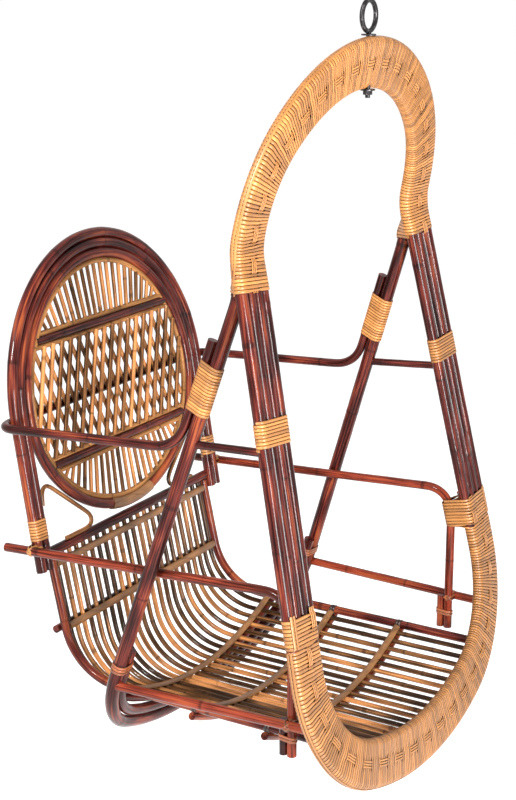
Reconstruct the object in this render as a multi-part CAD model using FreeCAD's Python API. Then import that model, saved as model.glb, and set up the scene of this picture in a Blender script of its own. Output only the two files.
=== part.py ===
import FreeCAD
import Part

import os
from math import acos, asin, atan, cos, radians, sin, sqrt, tan

# Hanging cane chair: two bent hoops tied at the shoulders, a scooped slat seat and an oval back.
# Lengths are millimetres, angles are degrees. +Z is up, the sitter faces -Y, X runs across.
# Places are worked out from the middle of the seat and set against the hanging eye at the end.

Vec = FreeCAD.Vector

# Fits
clearance = 0.3
thread_clearance = 0.1
bolt_clearance = 0.4

# Cane diameters
hoop_cane = 20.0
rear_cane = 24.0
doubler_cane = 20.0
arm_cane = 16.0
rail_cane = 16.0
stub_cane = 14.0
stretcher_cane = 16.0
brace_cane = 14.0
seat_frame_cane = 16.0
cross_cane = 14.0
top_rail_cane = 18.0
slat_cane = 9.5
stile_cane = 18.0
inner_oval_cane = 9.0
bar_cane = 14.0
bar_trim_cane = 8.5
spoke_cane = 7.5
lattice_cane = 8.5
scroll_cane = 8.0

# Peel: the round strand of the windings and the wall of the woven covers
peel_strand = 4.6
peel_gap = 1.1
peel_wall = 1.5

# Front hoop: four canes side by side in a pear shape, folded forwards at the shoulders
hoop_canes = 4
hoop_leg_length = 899.0
hoop_leg_lean = 12.0
hoop_leg_splay = 4.2
hoop_shoulder_half_width = 288.0
hoop_corner_radius = 205.0
hoop_bottom_turn = 19.0
hoop_bottom_reach = 315.0
hoop_rim_rise = 30.0
hoop_fold_radius = 80.0
arch_lean = 11.6
arch_straight = 25.0
arch_rise = 241.0
arch_corner_radius = 207.0
butt_gap = 0.6

# Covers and windings on the front hoop
bottom_cover_height = 338.0
leg_winding_gap = 4.7
leg_winding_turns = 9
shoulder_winding_turns = 5
shoulder_winding_start = 18.0

# Rear hoop: one thick cane whose two ends run up behind the shoulders of the front hoop
rear_lean = 18.0
rear_seat_gap = 50.0
knee_drop = 60.0
rear_knee_radius = 80.0
rear_tail = 48.0
rear_inset = 7.0
rear_corner_radius = 140.0
rear_bottom_turn = 24.0
doubler_rise = 26.0

# Seat: side frames, cross canes, laths and slats in one dished scoop
seat_half_width = 246.0
seat_back_y = 249.0
seat_back_lean = 12.4
seat_back_length = 217.0
seat_bend_radius = 110.0
slat_count = 23
slat_edge_gap = 3.0
cross_pitch = 142.0
cross_end_overhang = 1.0
back_cross_height = 88.0
lath_width = 14.0
lath_thickness = 5.0
top_lath_drop = 14.0

# Side rails that turn down into front posts, with stretchers, stubs and braces
rail_height_back = 238.0
rail_height_front = 268.0
rail_rear_end = 350.0
rail_bend_radius = 45.0
post_gap = 3.0
post_foot_depth = 8.0
stub_length = 62.0
stretcher_height = 52.0
brace_height = 488.0
brace_rise = 8.0
post_binding_height = 20.0
post_binding_turns = 3
foot_binding_turns = 4

# Arm loop: one cane from strut to strut, round behind the back
arm_top_drop = 88.0
arm_elbow_height = 470.0
arm_back_height = 456.0
arm_elbow_radius = 60.0
arm_corner_radius = 28.0
arm_corner_margin = 28.0
strut_winding_drop = 77.0
strut_winding_turns = 16

# Back: two nested stiles, two nested ovals, two bars, spokes and a lattice
back_lean = 9.5
back_foot_y = 288.0
back_foot_height = 198.0
oval_bottom_height = 51.0
oval_drop_share = 0.875
oval_corner_share = 0.776
upper_bar_share = 0.5
lower_bar_share = 0.398
spoke_count = 21
spoke_bar_margin = 29.0
spoke_oval_margin = 7.0
lattice_count = 18
lattice_margin = 16.0
lattice_slant = 72.0
lattice_halvings = 40
splice_length = 124.0
splice_wall = 1.6
stile_winding_height = 78.0
stile_winding_turns = 8

# Scrolls between the stiles, the oval and the seat back's top rail
scroll_start_gap = 9.0
scroll_peak_share = 0.18
scroll_peak_inset = 5.5
scroll_tip_share = 0.612
scroll_tail_share = 0.196
scroll_bend_radius = 12.0

# Hanging eye bolt
eye_radius = 24.0
eye_bar = 8.0
shank_diameter = 8.0
washer_diameter = 24.0
washer_thickness = 2.0
nut_across_flats = 13.0
nut_thickness = 6.5
thread_end = 5.0

sides = (("left", 1), ("right", -1))


# Points and paths

def mirrored(points):
    """The same points on the other side of the middle plane, in reverse order."""
    return [Vec(-p.x, p.y, p.z) for p in reversed(points)]


def on_side(point, side):
    return Vec(side * point.x, point.y, point.z)


def bent(points, radii):
    """A wire of straight runs joined by tangent arcs, one radius for each inner point."""
    edges = []
    start = points[0]
    for before, corner, after, radius in zip(points, points[1:], points[2:], radii):
        into = (corner - before).normalize()
        out = (after - corner).normalize()
        half_turn = into.getAngle(out) / 2
        reach = radius * tan(half_turn)
        first = corner - into * reach
        last = corner + out * reach
        inward = (out - into).normalize()
        middle = corner + inward * (radius / cos(half_turn) - radius)
        if start.distanceToPoint(first) > clearance / 100:
            edges.append(Part.LineSegment(start, first).toShape())
        edges.append(Part.Arc(first, middle, last).toShape())
        start = last
    if start.distanceToPoint(points[-1]) > clearance / 100:
        edges.append(Part.LineSegment(start, points[-1]).toShape())
    return Part.Wire(edges)


def tube(wire, diameter):
    """A round cane along a wire of lines and arcs."""
    first = wire.Edges[0]
    at = first.valueAt(first.FirstParameter)
    ahead = first.tangentAt(first.FirstParameter)
    if first.Orientation == "Reversed":
        at = first.valueAt(first.LastParameter)
        ahead = first.tangentAt(first.LastParameter) * -1
    ring = Part.Wire([Part.Circle(at, ahead, diameter / 2).toShape()])
    return swept(wire, ring)


def swept(wire, outline):
    """A solid along a wire, turned the right way out."""
    solid = wire.makePipeShell([outline], True, False)
    if solid.Volume < 0:
        solid.reverse()
    return solid


def rod(start, end, diameter):
    return Part.makeCylinder(diameter / 2, start.distanceToPoint(end), start, end - start)


def largest(shape):
    return max(shape.Solids, key=lambda solid: solid.Volume)


def between(a, b, share):
    return a + (b - a) * share


# Round ends: a wide arc with a smaller arc on each side of it

def wide_arc(half_width, height, corner_radius):
    """Turn and radius of the wide arc of a round end of this size."""
    turn = 2 * atan((height - corner_radius) / (half_width - corner_radius))
    return turn, corner_radius + (half_width - corner_radius) / sin(turn)


def closing_radius(corner_radius, turn, splay, side_x, side_height):
    """Radius of the wide arc whose splayed side line passes one point above it."""
    width = side_x - corner_radius * (cos(splay) - sin(turn))
    width += (side_height - corner_radius * (cos(turn) + sin(splay))) * tan(splay)
    return width / (sin(turn) + (1 - cos(turn)) * tan(splay))


def end_corner(wide_radius, turn, corner_radius, splay):
    """Where the tangents at the two ends of a small arc cross, from the round end's apex."""
    corner_turn = radians(90) + splay - turn
    run = wide_radius * tan(turn) + corner_radius * tan(corner_turn / 2)
    return run * cos(turn), wide_radius - wide_radius / cos(turn) + run * sin(turn)


def butt_start(wide_radius, turn):
    """Start of half a round end at its butt joint, and its first bend, from the apex."""
    first = butt_gap / 2 / wide_radius
    start_x = wide_radius * sin(first)
    start_rise = wide_radius - wide_radius * cos(first)
    run = wide_radius * tan((turn - first) / 2)
    return (start_x, start_rise), (start_x + run * cos(first), start_rise + run * sin(first))


# Front hoop

leg_lean = radians(hoop_leg_lean)
leg_splay = radians(hoop_leg_splay)
bottom_turn = radians(hoop_bottom_turn)
hoop_step = hoop_cane + clearance
band_reach = (hoop_canes - 1) / 2 * hoop_step
hoop_bottom_radius = closing_radius(hoop_corner_radius, bottom_turn, leg_splay,
                                    hoop_shoulder_half_width, hoop_leg_length)

# The dish of the seat follows the hoop's bottom, whose inner rim stands above the slats' ends
cover_radius = hoop_cane / 2 + clearance + peel_wall
slat_radius = slat_cane / 2
dish_radius = hoop_bottom_radius - band_reach - cover_radius - clearance - slat_radius
cross_arc_radius = dish_radius + slat_radius + clearance + cross_cane / 2
rail_to_cross = seat_frame_cane / 2 + clearance + cross_cane / 2
dish_centre = sqrt((cross_arc_radius - rail_to_cross) ** 2 - seat_half_width ** 2)
dish_bottom = dish_centre - dish_radius
hoop_bottom = dish_bottom - (hoop_bottom_radius - dish_radius - band_reach) - band_reach * cos(leg_lean)
hoop_bottom += hoop_rim_rise

leg_up = Vec(0, sin(leg_lean), cos(leg_lean))
leg_back = Vec(0, cos(leg_lean), -sin(leg_lean))
arch_up = Vec(0, -sin(radians(arch_lean)), cos(radians(arch_lean)))
across = Vec(1, 0, 0)
up = Vec(0, 0, 1)
hoop_base = Vec(0, -hoop_bottom_reach, hoop_bottom)
fold = hoop_base + leg_up * hoop_leg_length
arch_turn, arch_radius = wide_arc(hoop_shoulder_half_width, arch_rise, arch_corner_radius)


def leg_point(x, height):
    return hoop_base + leg_up * height + across * x


def arch_point(x, height):
    return fold + arch_up * height + across * x


def leg_height(z):
    """How far along the leg a level is."""
    return (z - hoop_base.z) / leg_up.z


def leg_way(side):
    """The way up a leg, which leans towards the middle."""
    return on_side(leg_up - across * tan(leg_splay), side)


def leg_x(height, offset=0):
    """How far out the hoop's straight leg runs at a height along it."""
    return hoop_shoulder_half_width + (hoop_leg_length - height) * tan(leg_splay) + offset / cos(leg_splay)


def hoop_half(offset):
    """Corners and bend radii of half the hoop, from the bottom to the arch, for one cane."""
    corner_x, corner_height = end_corner(hoop_bottom_radius + offset, bottom_turn,
                                         hoop_corner_radius + offset, leg_splay)
    start, first = butt_start(hoop_bottom_radius + offset, bottom_turn)
    shoulder_x = leg_x(hoop_leg_length, offset)
    arch_offset = shoulder_x - hoop_shoulder_half_width
    top_x, top_drop = end_corner(arch_radius + arch_offset, arch_turn, arch_corner_radius + arch_offset, 0)
    crown = arch_straight + arch_rise + arch_offset
    lower = [start, first, (corner_x, corner_height)]
    points = [leg_point(x, height - offset) for x, height in lower]
    points += [arch_point(shoulder_x, 0), arch_point(top_x, crown - top_drop)]
    radii = [hoop_bottom_radius + offset, hoop_corner_radius + offset, hoop_fold_radius,
             arch_corner_radius + arch_offset]
    return points, radii, crown, arch_radius + arch_offset


def hoop_wire(offset):
    points, radii, crown, top_radius = hoop_half(offset)
    top = arch_point(0, crown + top_radius / cos(arch_turn) - top_radius)
    return bent(points + [top] + mirrored(points), radii + [top_radius] + radii[::-1])


def band_outline(at, along, outward, radius):
    """A flat band's outline: two half rounds and two straight sides, square to its path."""
    inner = at - outward * band_reach
    outer = at + outward * band_reach
    face = along.cross(outward).normalize() * radius
    end = outward * radius
    return Part.Wire([
        Part.Arc(outer - face, outer + end, outer + face).toShape(),
        Part.LineSegment(outer + face, inner + face).toShape(),
        Part.Arc(inner + face, inner - end, inner - face).toShape(),
        Part.LineSegment(inner - face, outer - face).toShape()])


def bottom_cover(radius):
    """The band under the bottom cover: up both legs and round the bottom."""
    corner_x, corner_height = end_corner(hoop_bottom_radius, bottom_turn, hoop_corner_radius, leg_splay)
    start = leg_point(leg_x(bottom_cover_height), bottom_cover_height)
    corner = leg_point(corner_x, corner_height)
    low = leg_point(0, hoop_bottom_radius - hoop_bottom_radius / cos(bottom_turn))
    wire = bent([start, corner, low] + mirrored([start, corner]),
                [hoop_corner_radius, hoop_bottom_radius, hoop_corner_radius])
    along = (corner - start).normalize()
    outward = along.cross(leg_back).normalize() * -1
    return swept(wire, band_outline(start, along, outward, radius))


def arch_cover(radius):
    """The band under the arch cover: from shoulder to shoulder over the top."""
    points, radii, crown, top_radius = hoop_half(0)
    start = arch_point(hoop_shoulder_half_width, arch_straight)
    top = arch_point(0, crown + top_radius / cos(arch_turn) - top_radius)
    wire = bent([start, points[-1], top] + mirrored([start, points[-1]]),
                [arch_corner_radius, top_radius, arch_corner_radius])
    return swept(wire, band_outline(start, arch_up, across, radius))


# Windings

def climb_arc(start, start_way, end, end_way):
    """Two tangent arcs from one climbing point to another."""
    chord = end - start
    ways = start_way + end_way
    square = ways.dot(ways) - 4
    middle = chord.dot(ways)
    reach = (middle - sqrt(middle ** 2 - square * chord.dot(chord))) / square
    first_knee = start + start_way * reach
    last_knee = end - end_way * reach
    joint = (first_knee + last_knee) * 0.5
    return [knee_arc(start, first_knee, joint), knee_arc(joint, last_knee, end)]


def knee_arc(start, knee, end):
    middle = (start + end) * 0.5
    half_chord = start.distanceToPoint(end) / 2
    rise = knee - middle
    sag = half_chord * tan(atan(rise.Length / half_chord) / 2)
    return Part.Arc(start, middle + rise.normalize() * sag, end).toShape()


def winding(name, centre, axis, wide, half_wide, half_thick, corner, turns):
    """One strand wound round a section with rounded corners, whose half sizes are given."""
    axis = Vec(axis).normalize()
    wide = Vec(wide).normalize()
    thick = axis.cross(wide)
    pitch = peel_strand + peel_gap
    radius = corner + clearance + peel_strand / 2
    runs = (2 * (half_wide - corner), 2 * (half_thick - corner))
    ways = (wide, thick, wide * -1, thick * -1)
    quarter_round = radians(90) * radius
    round_length = 2 * sum(runs) + 4 * quarter_round
    climb = axis * (pitch / round_length)
    place = centre - axis * (turns * pitch / 2) - wide * (runs[0] / 2) - thick * (runs[1] / 2 + radius)
    edges = [Part.LineSegment(place - (wide + climb).normalize() * peel_strand, place).toShape()]
    for quarter in range(4 * turns):
        way = ways[quarter % 4]
        next_way = ways[(quarter + 1) % 4]
        run_end = place + (way + climb) * runs[quarter % 2]
        if run_end.distanceToPoint(place) > clearance / 100:
            edges.append(Part.LineSegment(place, run_end).toShape())
        place = run_end + (way + next_way) * radius + climb * quarter_round
        edges += climb_arc(run_end, (way + climb).normalize(), place, (next_way + climb).normalize())
    edges.append(Part.LineSegment(place, place + (wide + climb).normalize() * peel_strand).toShape())
    wire = Part.Wire(edges)
    samples = wire.discretize(Distance=peel_strand)
    lap = int(round_length / peel_strand / 2)
    least = min(a.distanceToPoint(b) for i, a in enumerate(samples) for b in samples[i + lap:])
    print(name, "least gap to itself %.2f mm" % (least - peel_strand))
    return tube(wire, peel_strand)


# Rear hoop

tail_back = hoop_cane / 2 + clearance + rear_cane / 2
knee_height = hoop_leg_length - knee_drop
knee = leg_point(0, knee_height) + leg_back * tail_back
rear_up = Vec(0, -sin(radians(rear_lean)), cos(radians(rear_lean)))
rear_back = Vec(0, cos(radians(rear_lean)), sin(radians(rear_lean)))
knee_x = leg_x(knee_height) - rear_inset
rear_leg_length = (knee.z - dish_bottom + rear_seat_gap) / rear_up.z

# Across the chair, from the seat outwards: seat frame, two stiles, side rail, rear hoop
stile_step = stile_cane + clearance
inner_stile_x = seat_half_width + seat_frame_cane / 2 + clearance + stile_cane / 2
outer_stile_x = inner_stile_x + stile_step
rail_x = outer_stile_x + stile_cane / 2 + clearance + rail_cane / 2
crossing_x = rail_x + rail_cane / 2 + clearance + rear_cane / 2
rail_middle = (rail_height_back + rail_height_front) / 2
crossing_height = rear_leg_length - (knee.z - rail_middle) / rear_up.z
rear_splay = atan((crossing_x - knee_x) / (rear_leg_length - crossing_height))
rear_turn = radians(rear_bottom_turn)
rear_radius = closing_radius(rear_corner_radius, rear_turn, rear_splay, crossing_x, crossing_height)


def rear_point(x, height):
    return knee + rear_up * (height - rear_leg_length) + across * x


def strut_at(z):
    """The rear hoop's straight strut at a level above the seat."""
    height = rear_leg_length - (knee.z - z) / rear_up.z
    return rear_point(knee_x + (rear_leg_length - height) * tan(rear_splay), height)


def rear_corner(offset):
    x, height = end_corner(rear_radius + offset, rear_turn, rear_corner_radius + offset, rear_splay)
    return rear_point(x, height - offset)


def rear_low(offset):
    radius = rear_radius + offset
    return rear_point(0, radius - radius / cos(rear_turn) - offset)


def rear_wire():
    tail = [knee + across * knee_x + leg_way(1) * rear_tail, knee + across * knee_x, rear_corner(0)]
    return bent(tail + [rear_low(0)] + mirrored(tail),
                [rear_knee_radius, rear_corner_radius, rear_radius, rear_corner_radius, rear_knee_radius])


def doubler():
    """A second cane laid inside the bottom of the rear hoop."""
    offset = -(rear_cane + doubler_cane) / 2 - clearance
    corner = rear_corner(offset)
    straight = rear_corner_radius * tan((radians(90) + rear_splay - rear_turn) / 2) + doubler_rise
    way = (knee + across * knee_x - rear_corner(0)).normalize()
    ends = [corner + way * straight, corner]
    wire = bent(ends + [rear_low(offset)] + mirrored(ends),
                [rear_corner_radius + offset, rear_radius + offset, rear_corner_radius + offset])
    return tube(wire, doubler_cane)


# Seat

back_way = Vec(0, sin(radians(seat_back_lean)), cos(radians(seat_back_lean)))
back_out = Vec(0, cos(radians(seat_back_lean)), -sin(radians(seat_back_lean)))
slat_set_back = rail_to_cross - cross_cane / 2 - clearance - slat_radius
slat_reach_x = seat_half_width - seat_frame_cane / 2 - slat_edge_gap - slat_radius


def scoop(x, level, set_back, front, diameter):
    """A cane down the seat back, round the scoop and forwards at one level."""
    foot = Vec(x, seat_back_y, 0) + back_out * set_back
    bend = foot + back_way * ((level - foot.z) / back_way.z)
    top = foot + back_way * (seat_back_length - (foot - Vec(x, seat_back_y, 0)).dot(back_way))
    return tube(bent([top, bend, Vec(x, front, level)], [seat_bend_radius]), diameter)


def dish_level(x, radius):
    return dish_centre - sqrt(radius ** 2 - x ** 2)


def dish_cane(y, half_length, radius, diameter):
    """A cane across the seat, bent to the dish."""
    ends = [Vec(side * half_length, y, dish_level(half_length, radius)) for name, side in sides]
    arc = Part.Arc(ends[0], Vec(0, y, dish_level(0, radius)), ends[1]).toShape()
    return tube(Part.Wire([arc]), diameter)


def half_round(at, along, outward):
    """A lath's section: flat against the slats, round outwards."""
    side = along.cross(outward).normalize() * (lath_width / 2)
    crown = at + outward * lath_thickness
    flat = Part.LineSegment(at + side, at - side).toShape()
    return Part.Wire([flat, Part.Arc(at - side, crown, at + side).toShape()])


def dish_lath(y, half_length):
    radius = dish_radius - slat_radius - clearance
    ends = [Vec(side * half_length, y, dish_level(half_length, radius)) for name, side in sides]
    arc = Part.Arc(ends[0], Vec(0, y, dish_level(0, radius)), ends[1]).toShape()
    along = arc.tangentAt(arc.FirstParameter)
    outward = (Vec(0, y, dish_centre) - ends[0]).normalize()
    return swept(Part.Wire([arc]), half_round(ends[0], along, outward))


def straight_lath(height, half_length):
    face = slat_set_back - slat_radius - clearance
    start = Vec(-half_length, seat_back_y, 0) + back_way * height + back_out * face
    section = Part.Face(half_round(start, across, back_out * -1))
    return section.extrude(across * (2 * half_length))


def slats(cover):
    """Thin canes side by side, each ending at the back of the hoop's covered bottom."""
    solids = []
    edge_angle = asin(slat_reach_x / dish_radius)
    for number in range(slat_count):
        x = dish_radius * sin(edge_angle * (2 * number / (slat_count - 1) - 1))
        level = dish_level(x, dish_radius)
        slat = scoop(x, level, slat_set_back, leg_point(0, leg_height(level)).y, slat_cane)
        solids.append(largest(slat.cut(cover)))
    return Part.makeCompound(solids)


# Back

back_up = Vec(0, sin(radians(back_lean)), cos(radians(back_lean)))
back_normal = Vec(0, cos(radians(back_lean)), -sin(radians(back_lean)))
back_foot = Vec(0, back_foot_y, back_foot_height)
oval_x = inner_stile_x - stile_step
inner_oval_offset = -(stile_cane + inner_oval_cane) / 2 - clearance
oval_drop = oval_drop_share * oval_x
oval_corner_radius = oval_corner_share * oval_x
spring = oval_bottom_height + oval_drop
upper_bar_height = spring + upper_bar_share * oval_x
lower_bar_height = spring - lower_bar_share * oval_x
oval_turn, oval_radius = wide_arc(oval_x, oval_drop, oval_corner_radius)


def back_point(x, height):
    return back_foot + back_up * height + across * x


def stile(half_width):
    """A U of two runs and a half circle."""
    first = Part.LineSegment(back_point(half_width, 0), back_point(half_width, spring)).toShape()
    last = Part.LineSegment(back_point(-half_width, spring), back_point(-half_width, 0)).toShape()
    return tube(Part.Wire([first, half_circle(half_width), last]), stile_cane)


def half_circle(half_width):
    return Part.Arc(back_point(half_width, spring), back_point(0, spring + half_width),
                    back_point(-half_width, spring)).toShape()


def oval_wire(offset):
    """A cane's run: half a circle above, a wider round end below, butted at the bottom."""
    half_width = oval_x + offset
    low = oval_bottom_height - offset
    start, first = butt_start(oval_radius + offset, oval_turn)
    corner = end_corner(oval_radius + offset, oval_turn, oval_corner_radius + offset, 0)
    lower = [back_point(x, low + rise) for x, rise in (start, first, corner)]
    lower.append(back_point(half_width, spring))
    radii = [oval_radius + offset, oval_corner_radius + offset]
    near = bent(lower, radii)
    far = bent(mirrored(lower), radii[::-1])
    return Part.Wire(near.Edges + [half_circle(half_width)] + far.Edges)


def oval_half_width(height, offset):
    """Half the width inside the oval's run at a height."""
    half_width = oval_x + offset
    if height >= spring:
        return sqrt(half_width ** 2 - (height - spring) ** 2)
    corner = oval_corner_radius + offset
    return half_width - corner + sqrt(corner ** 2 - (spring - height) ** 2)


def bar(height, diameter, cutter):
    """A straight cane from side to side of the oval, hollowed at its ends to fit it."""
    half_length = oval_half_width(height, inner_oval_offset)
    ends = [back_point(side * half_length, height) for name, side in sides]
    return largest(rod(ends[0], ends[1], diameter).cut(cutter))


def trim_height(bar_height, way):
    """Centre of the thin cane that runs along a bar, above it or below it."""
    return bar_height + way * ((bar_cane + bar_trim_cane) / 2 + clearance)


def trim_cutter(height):
    """The room that a thin cane along a bar takes up."""
    ends = [back_point(side * oval_x, height) for name, side in sides]
    return rod(ends[0], ends[1], bar_trim_cane + 2 * clearance)


def spokes(bar_height, way, oval_cutter):
    """Thin canes that fan out from a bar to the oval, hollowed at both ends."""
    solids = []
    start_height = trim_height(bar_height, way)
    bar_cutter = trim_cutter(start_height)
    bar_reach = oval_half_width(start_height, inner_oval_offset) - spoke_bar_margin
    oval_reach = fan_reach(start_height, way)
    for number in range(spoke_count):
        share = 2 * number / (spoke_count - 1) - 1
        start = back_point(share * bar_reach, start_height)
        spoke = rod(start, fan_end(share * oval_reach, way), spoke_cane)
        solids.append(largest(largest(spoke.cut(bar_cutter)).cut(oval_cutter)))
    return Part.makeCompound(solids)


def fan_reach(height, way):
    """Angle on the oval of a fan's outermost spoke, a little short of the bar's end."""
    radius = (oval_x if way > 0 else oval_corner_radius) + inner_oval_offset
    return acos(way * (height - spring) / radius) - radians(spoke_oval_margin)


def fan_end(angle, way):
    """Where a spoke meets the inner oval, above the bars or below them."""
    if way > 0:
        radius = oval_x + inner_oval_offset
        return back_point(radius * sin(angle), spring + radius * cos(angle))
    if abs(angle) <= oval_turn:
        radius = oval_radius + inner_oval_offset
        return back_point(radius * sin(angle), oval_bottom_height + oval_radius - radius * cos(angle))
    radius = oval_corner_radius + inner_oval_offset
    shift = (oval_x - oval_corner_radius) * (1 if angle > 0 else -1)
    return back_point(shift + radius * sin(angle), spring - radius * cos(angle))


def lattice(slant, layer, oval_cutter):
    """One layer of slanting canes that fills the oval between the two bars."""
    solids = []
    low, high = trim_height(lower_bar_height, 1), trim_height(upper_bar_height, -1)
    middle, tilt = (low + high) / 2, slant / (high - low)
    shift = back_normal * (layer * (lattice_cane + clearance) / 2)
    reach = oval_half_width(middle, inner_oval_offset) - lattice_margin
    for number in range(lattice_count):
        x = reach * (2 * number / (lattice_count - 1) - 1)
        ends = [lattice_end(x, tilt, middle, height) + shift for height in (low, high)]
        cane = rod(ends[0], ends[1], lattice_cane)
        for cutter in (trim_cutter(low), trim_cutter(high), oval_cutter):
            cane = largest(cane.cut(cutter))
        solids.append(cane)
    return Part.makeCompound(solids)


def lattice_end(x, tilt, middle, height):
    """Where a slanting cane stops: on a bar's thin cane or, further out, on the inner oval."""
    inside, outside = middle, height
    if abs(x + tilt * (height - middle)) <= oval_half_width(height, inner_oval_offset):
        inside = height
    for step in range(lattice_halvings):
        halfway = (inside + outside) / 2
        if abs(x + tilt * (halfway - middle)) <= oval_half_width(halfway, inner_oval_offset):
            inside = halfway
        else:
            outside = halfway
    return back_point(x + tilt * (inside - middle), inside)


def splice():
    """A thin sleeve over the butt joint at the bottom of the dark oval."""
    half_angle = splice_length / 2 / oval_radius
    centre = oval_bottom_height + oval_radius
    ends = [back_point(side * oval_radius * sin(half_angle), centre - oval_radius * cos(half_angle))
            for name, side in sides]
    wire = Part.Wire([Part.Arc(ends[0], back_point(0, oval_bottom_height), ends[1]).toShape()])
    bore = stile_cane + 2 * clearance
    return tube(wire, bore + 2 * splice_wall).cut(tube(wire, bore))


def scroll(side):
    """A thin S-bent cane in the corner under the oval."""
    stile_face = inner_stile_x - stile_cane / 2 - clearance - scroll_cane / 2
    top_rail_top = (top_rail_centre.z + top_rail_cane / 2 - back_foot.z) / back_up.z
    low = top_rail_top + clearance + scroll_cane / 2
    start = stile_winding_height + stile_winding_turns * (peel_strand + peel_gap) / 2 + scroll_start_gap
    points = [(stile_face, start), (stile_face - scroll_peak_inset, start + scroll_peak_share * oval_x),
              (stile_face - scroll_tip_share * oval_x, low), (stile_face - scroll_tail_share * oval_x, low)]
    places = [on_side(back_point(x, height), side) for x, height in points]
    return tube(bent(places, [scroll_bend_radius, scroll_bend_radius]), scroll_cane)


# Side rails, arms and braces

top_rail_centre = Vec(0, seat_back_y, 0) + back_way * (seat_back_length + clearance + top_rail_cane / 2)


def band_back_face(z):
    """How far back the covered band of a hoop leg reaches at a level."""
    return leg_point(0, leg_height(z)).y + cover_radius / leg_back.y


def post_y():
    return band_back_face(rail_height_front) + post_gap + rail_cane / 2


def side_rail(side):
    points = [Vec(rail_x, rail_rear_end, rail_height_back), Vec(rail_x, post_y(), rail_height_front),
              Vec(rail_x, post_y(), -post_foot_depth)]
    return tube(bent([on_side(p, side) for p in points], [rail_bend_radius]), rail_cane)


def post_stub(side):
    y = post_y() + (rail_cane + stub_cane) / 2 + clearance
    foot = on_side(Vec(rail_x, y, -post_foot_depth), side)
    return rod(foot, foot + up * stub_length, stub_cane)


def stretcher_axis():
    """A stretcher's line: from the rear hoop, past the outside of the post, to the front hoop."""
    rear = strut_at(stretcher_height)
    outside = rail_x + (rail_cane + stretcher_cane) / 2 + clearance
    post = Vec(outside, post_y(), stretcher_height)
    front_y = leg_point(0, leg_height(stretcher_height)).y
    return rear, between(rear, post, (rear.y - front_y) / (rear.y - post.y))


def stretcher(side, rear_cutter, cover):
    rear, front = stretcher_axis()
    cane = rod(on_side(rear, side), on_side(front, side), stretcher_cane)
    return largest(largest(cane.cut(rear_cutter)).cut(cover))


def upper_brace(side, rear_cutter, leg_cutters):
    rear = strut_at(brace_height)
    height = leg_height(brace_height + brace_rise)
    front = leg_point(leg_x(height), height)
    cane = rod(on_side(rear, side), on_side(front, side), brace_cane).cut(rear_cutter)
    for cutter in leg_cutters:
        cane = largest(cane).cut(cutter)
    return largest(cane)


def arm_loop():
    """One cane: down the back of a strut, back along the side, round behind the stiles and home."""
    behind = (rear_cane + arm_cane) / 2 + clearance
    top = strut_at(knee.z - arm_top_drop) + rear_back * behind
    elbow = strut_at(arm_elbow_height) + rear_back * behind
    stile_y = back_point(0, (arm_back_height - back_foot.z) / back_up.z).y
    back_y = stile_y + (stile_cane + arm_cane) / 2 / back_normal.y + clearance
    corner = Vec(outer_stile_x + arm_corner_margin, back_y, arm_back_height)
    half = [top, elbow, corner]
    radii = [arm_elbow_radius, arm_corner_radius]
    return tube(bent(half + mirrored(half), radii + radii[::-1]), arm_cane)


# Hanging eye bolt, upright through the crown of the arch

crown_point = arch_point(0, arch_straight + arch_rise)
bolt_y = crown_point.y
crown_top = (crown_point + arch_up * band_reach).z + cover_radius
crown_under = (crown_point - arch_up * band_reach).z - cover_radius
top_washer = crown_top + clearance
low_washer = crown_under - clearance - washer_thickness
eye_centre = Vec(0, bolt_y, top_washer + washer_thickness + clearance + eye_bar / 2 + eye_radius)
bolt_foot = Vec(0, bolt_y, low_washer - clearance - nut_thickness - thread_end)


def eye_bolt():
    ring = Part.makeTorus(eye_radius, eye_bar / 2, eye_centre, Vec(0, 1, 0))
    shank_top = eye_centre - up * eye_radius
    return ring.fuse(rod(bolt_foot, shank_top, shank_diameter)).removeSplitter()


def washer(level):
    at = Vec(0, bolt_y, level)
    bore = shank_diameter + 2 * thread_clearance
    disc = Part.makeCylinder(washer_diameter / 2, washer_thickness, at)
    return disc.cut(Part.makeCylinder(bore / 2, washer_thickness, at))


def nut():
    at = Vec(0, bolt_y, low_washer - clearance - nut_thickness)
    corner = nut_across_flats / 2 / cos(radians(30))
    points = [at + Vec(corner * cos(radians(60 * i)), corner * sin(radians(60 * i)), 0) for i in range(7)]
    body = Part.Face(Part.makePolygon(points)).extrude(up * nut_thickness)
    bore = shank_diameter + 2 * thread_clearance
    return body.cut(Part.makeCylinder(bore / 2, nut_thickness, at))


# Windings in place

def leg_winding(side):
    """Peel round a leg, just above the end of the upper brace."""
    half_length = leg_winding_turns * (peel_strand + peel_gap) / 2
    height = leg_height(brace_height + brace_rise) + brace_cane / 2 + leg_winding_gap + half_length
    at = on_side(leg_point(leg_x(height), height), side)
    wide = leg_way(side).cross(leg_back)
    return winding("leg winding", at, leg_way(side), wide, band_reach + hoop_cane / 2, hoop_cane / 2,
                   hoop_cane / 2, leg_winding_turns)


def shoulder_winding(side):
    """Ties the rear hoop's end to the back of the four canes."""
    height = knee_height + shoulder_winding_start + shoulder_winding_turns * (peel_strand + peel_gap) / 2
    half_thick = hoop_cane / 2 + (clearance + rear_cane) / 2
    at = on_side(leg_point(leg_x(height), height), side) + leg_back * (half_thick - hoop_cane / 2)
    wide = leg_way(side).cross(leg_back)
    return winding("shoulder winding", at, leg_way(side), wide, band_reach + hoop_cane / 2, half_thick,
                   hoop_cane / 2, shoulder_winding_turns)


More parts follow.
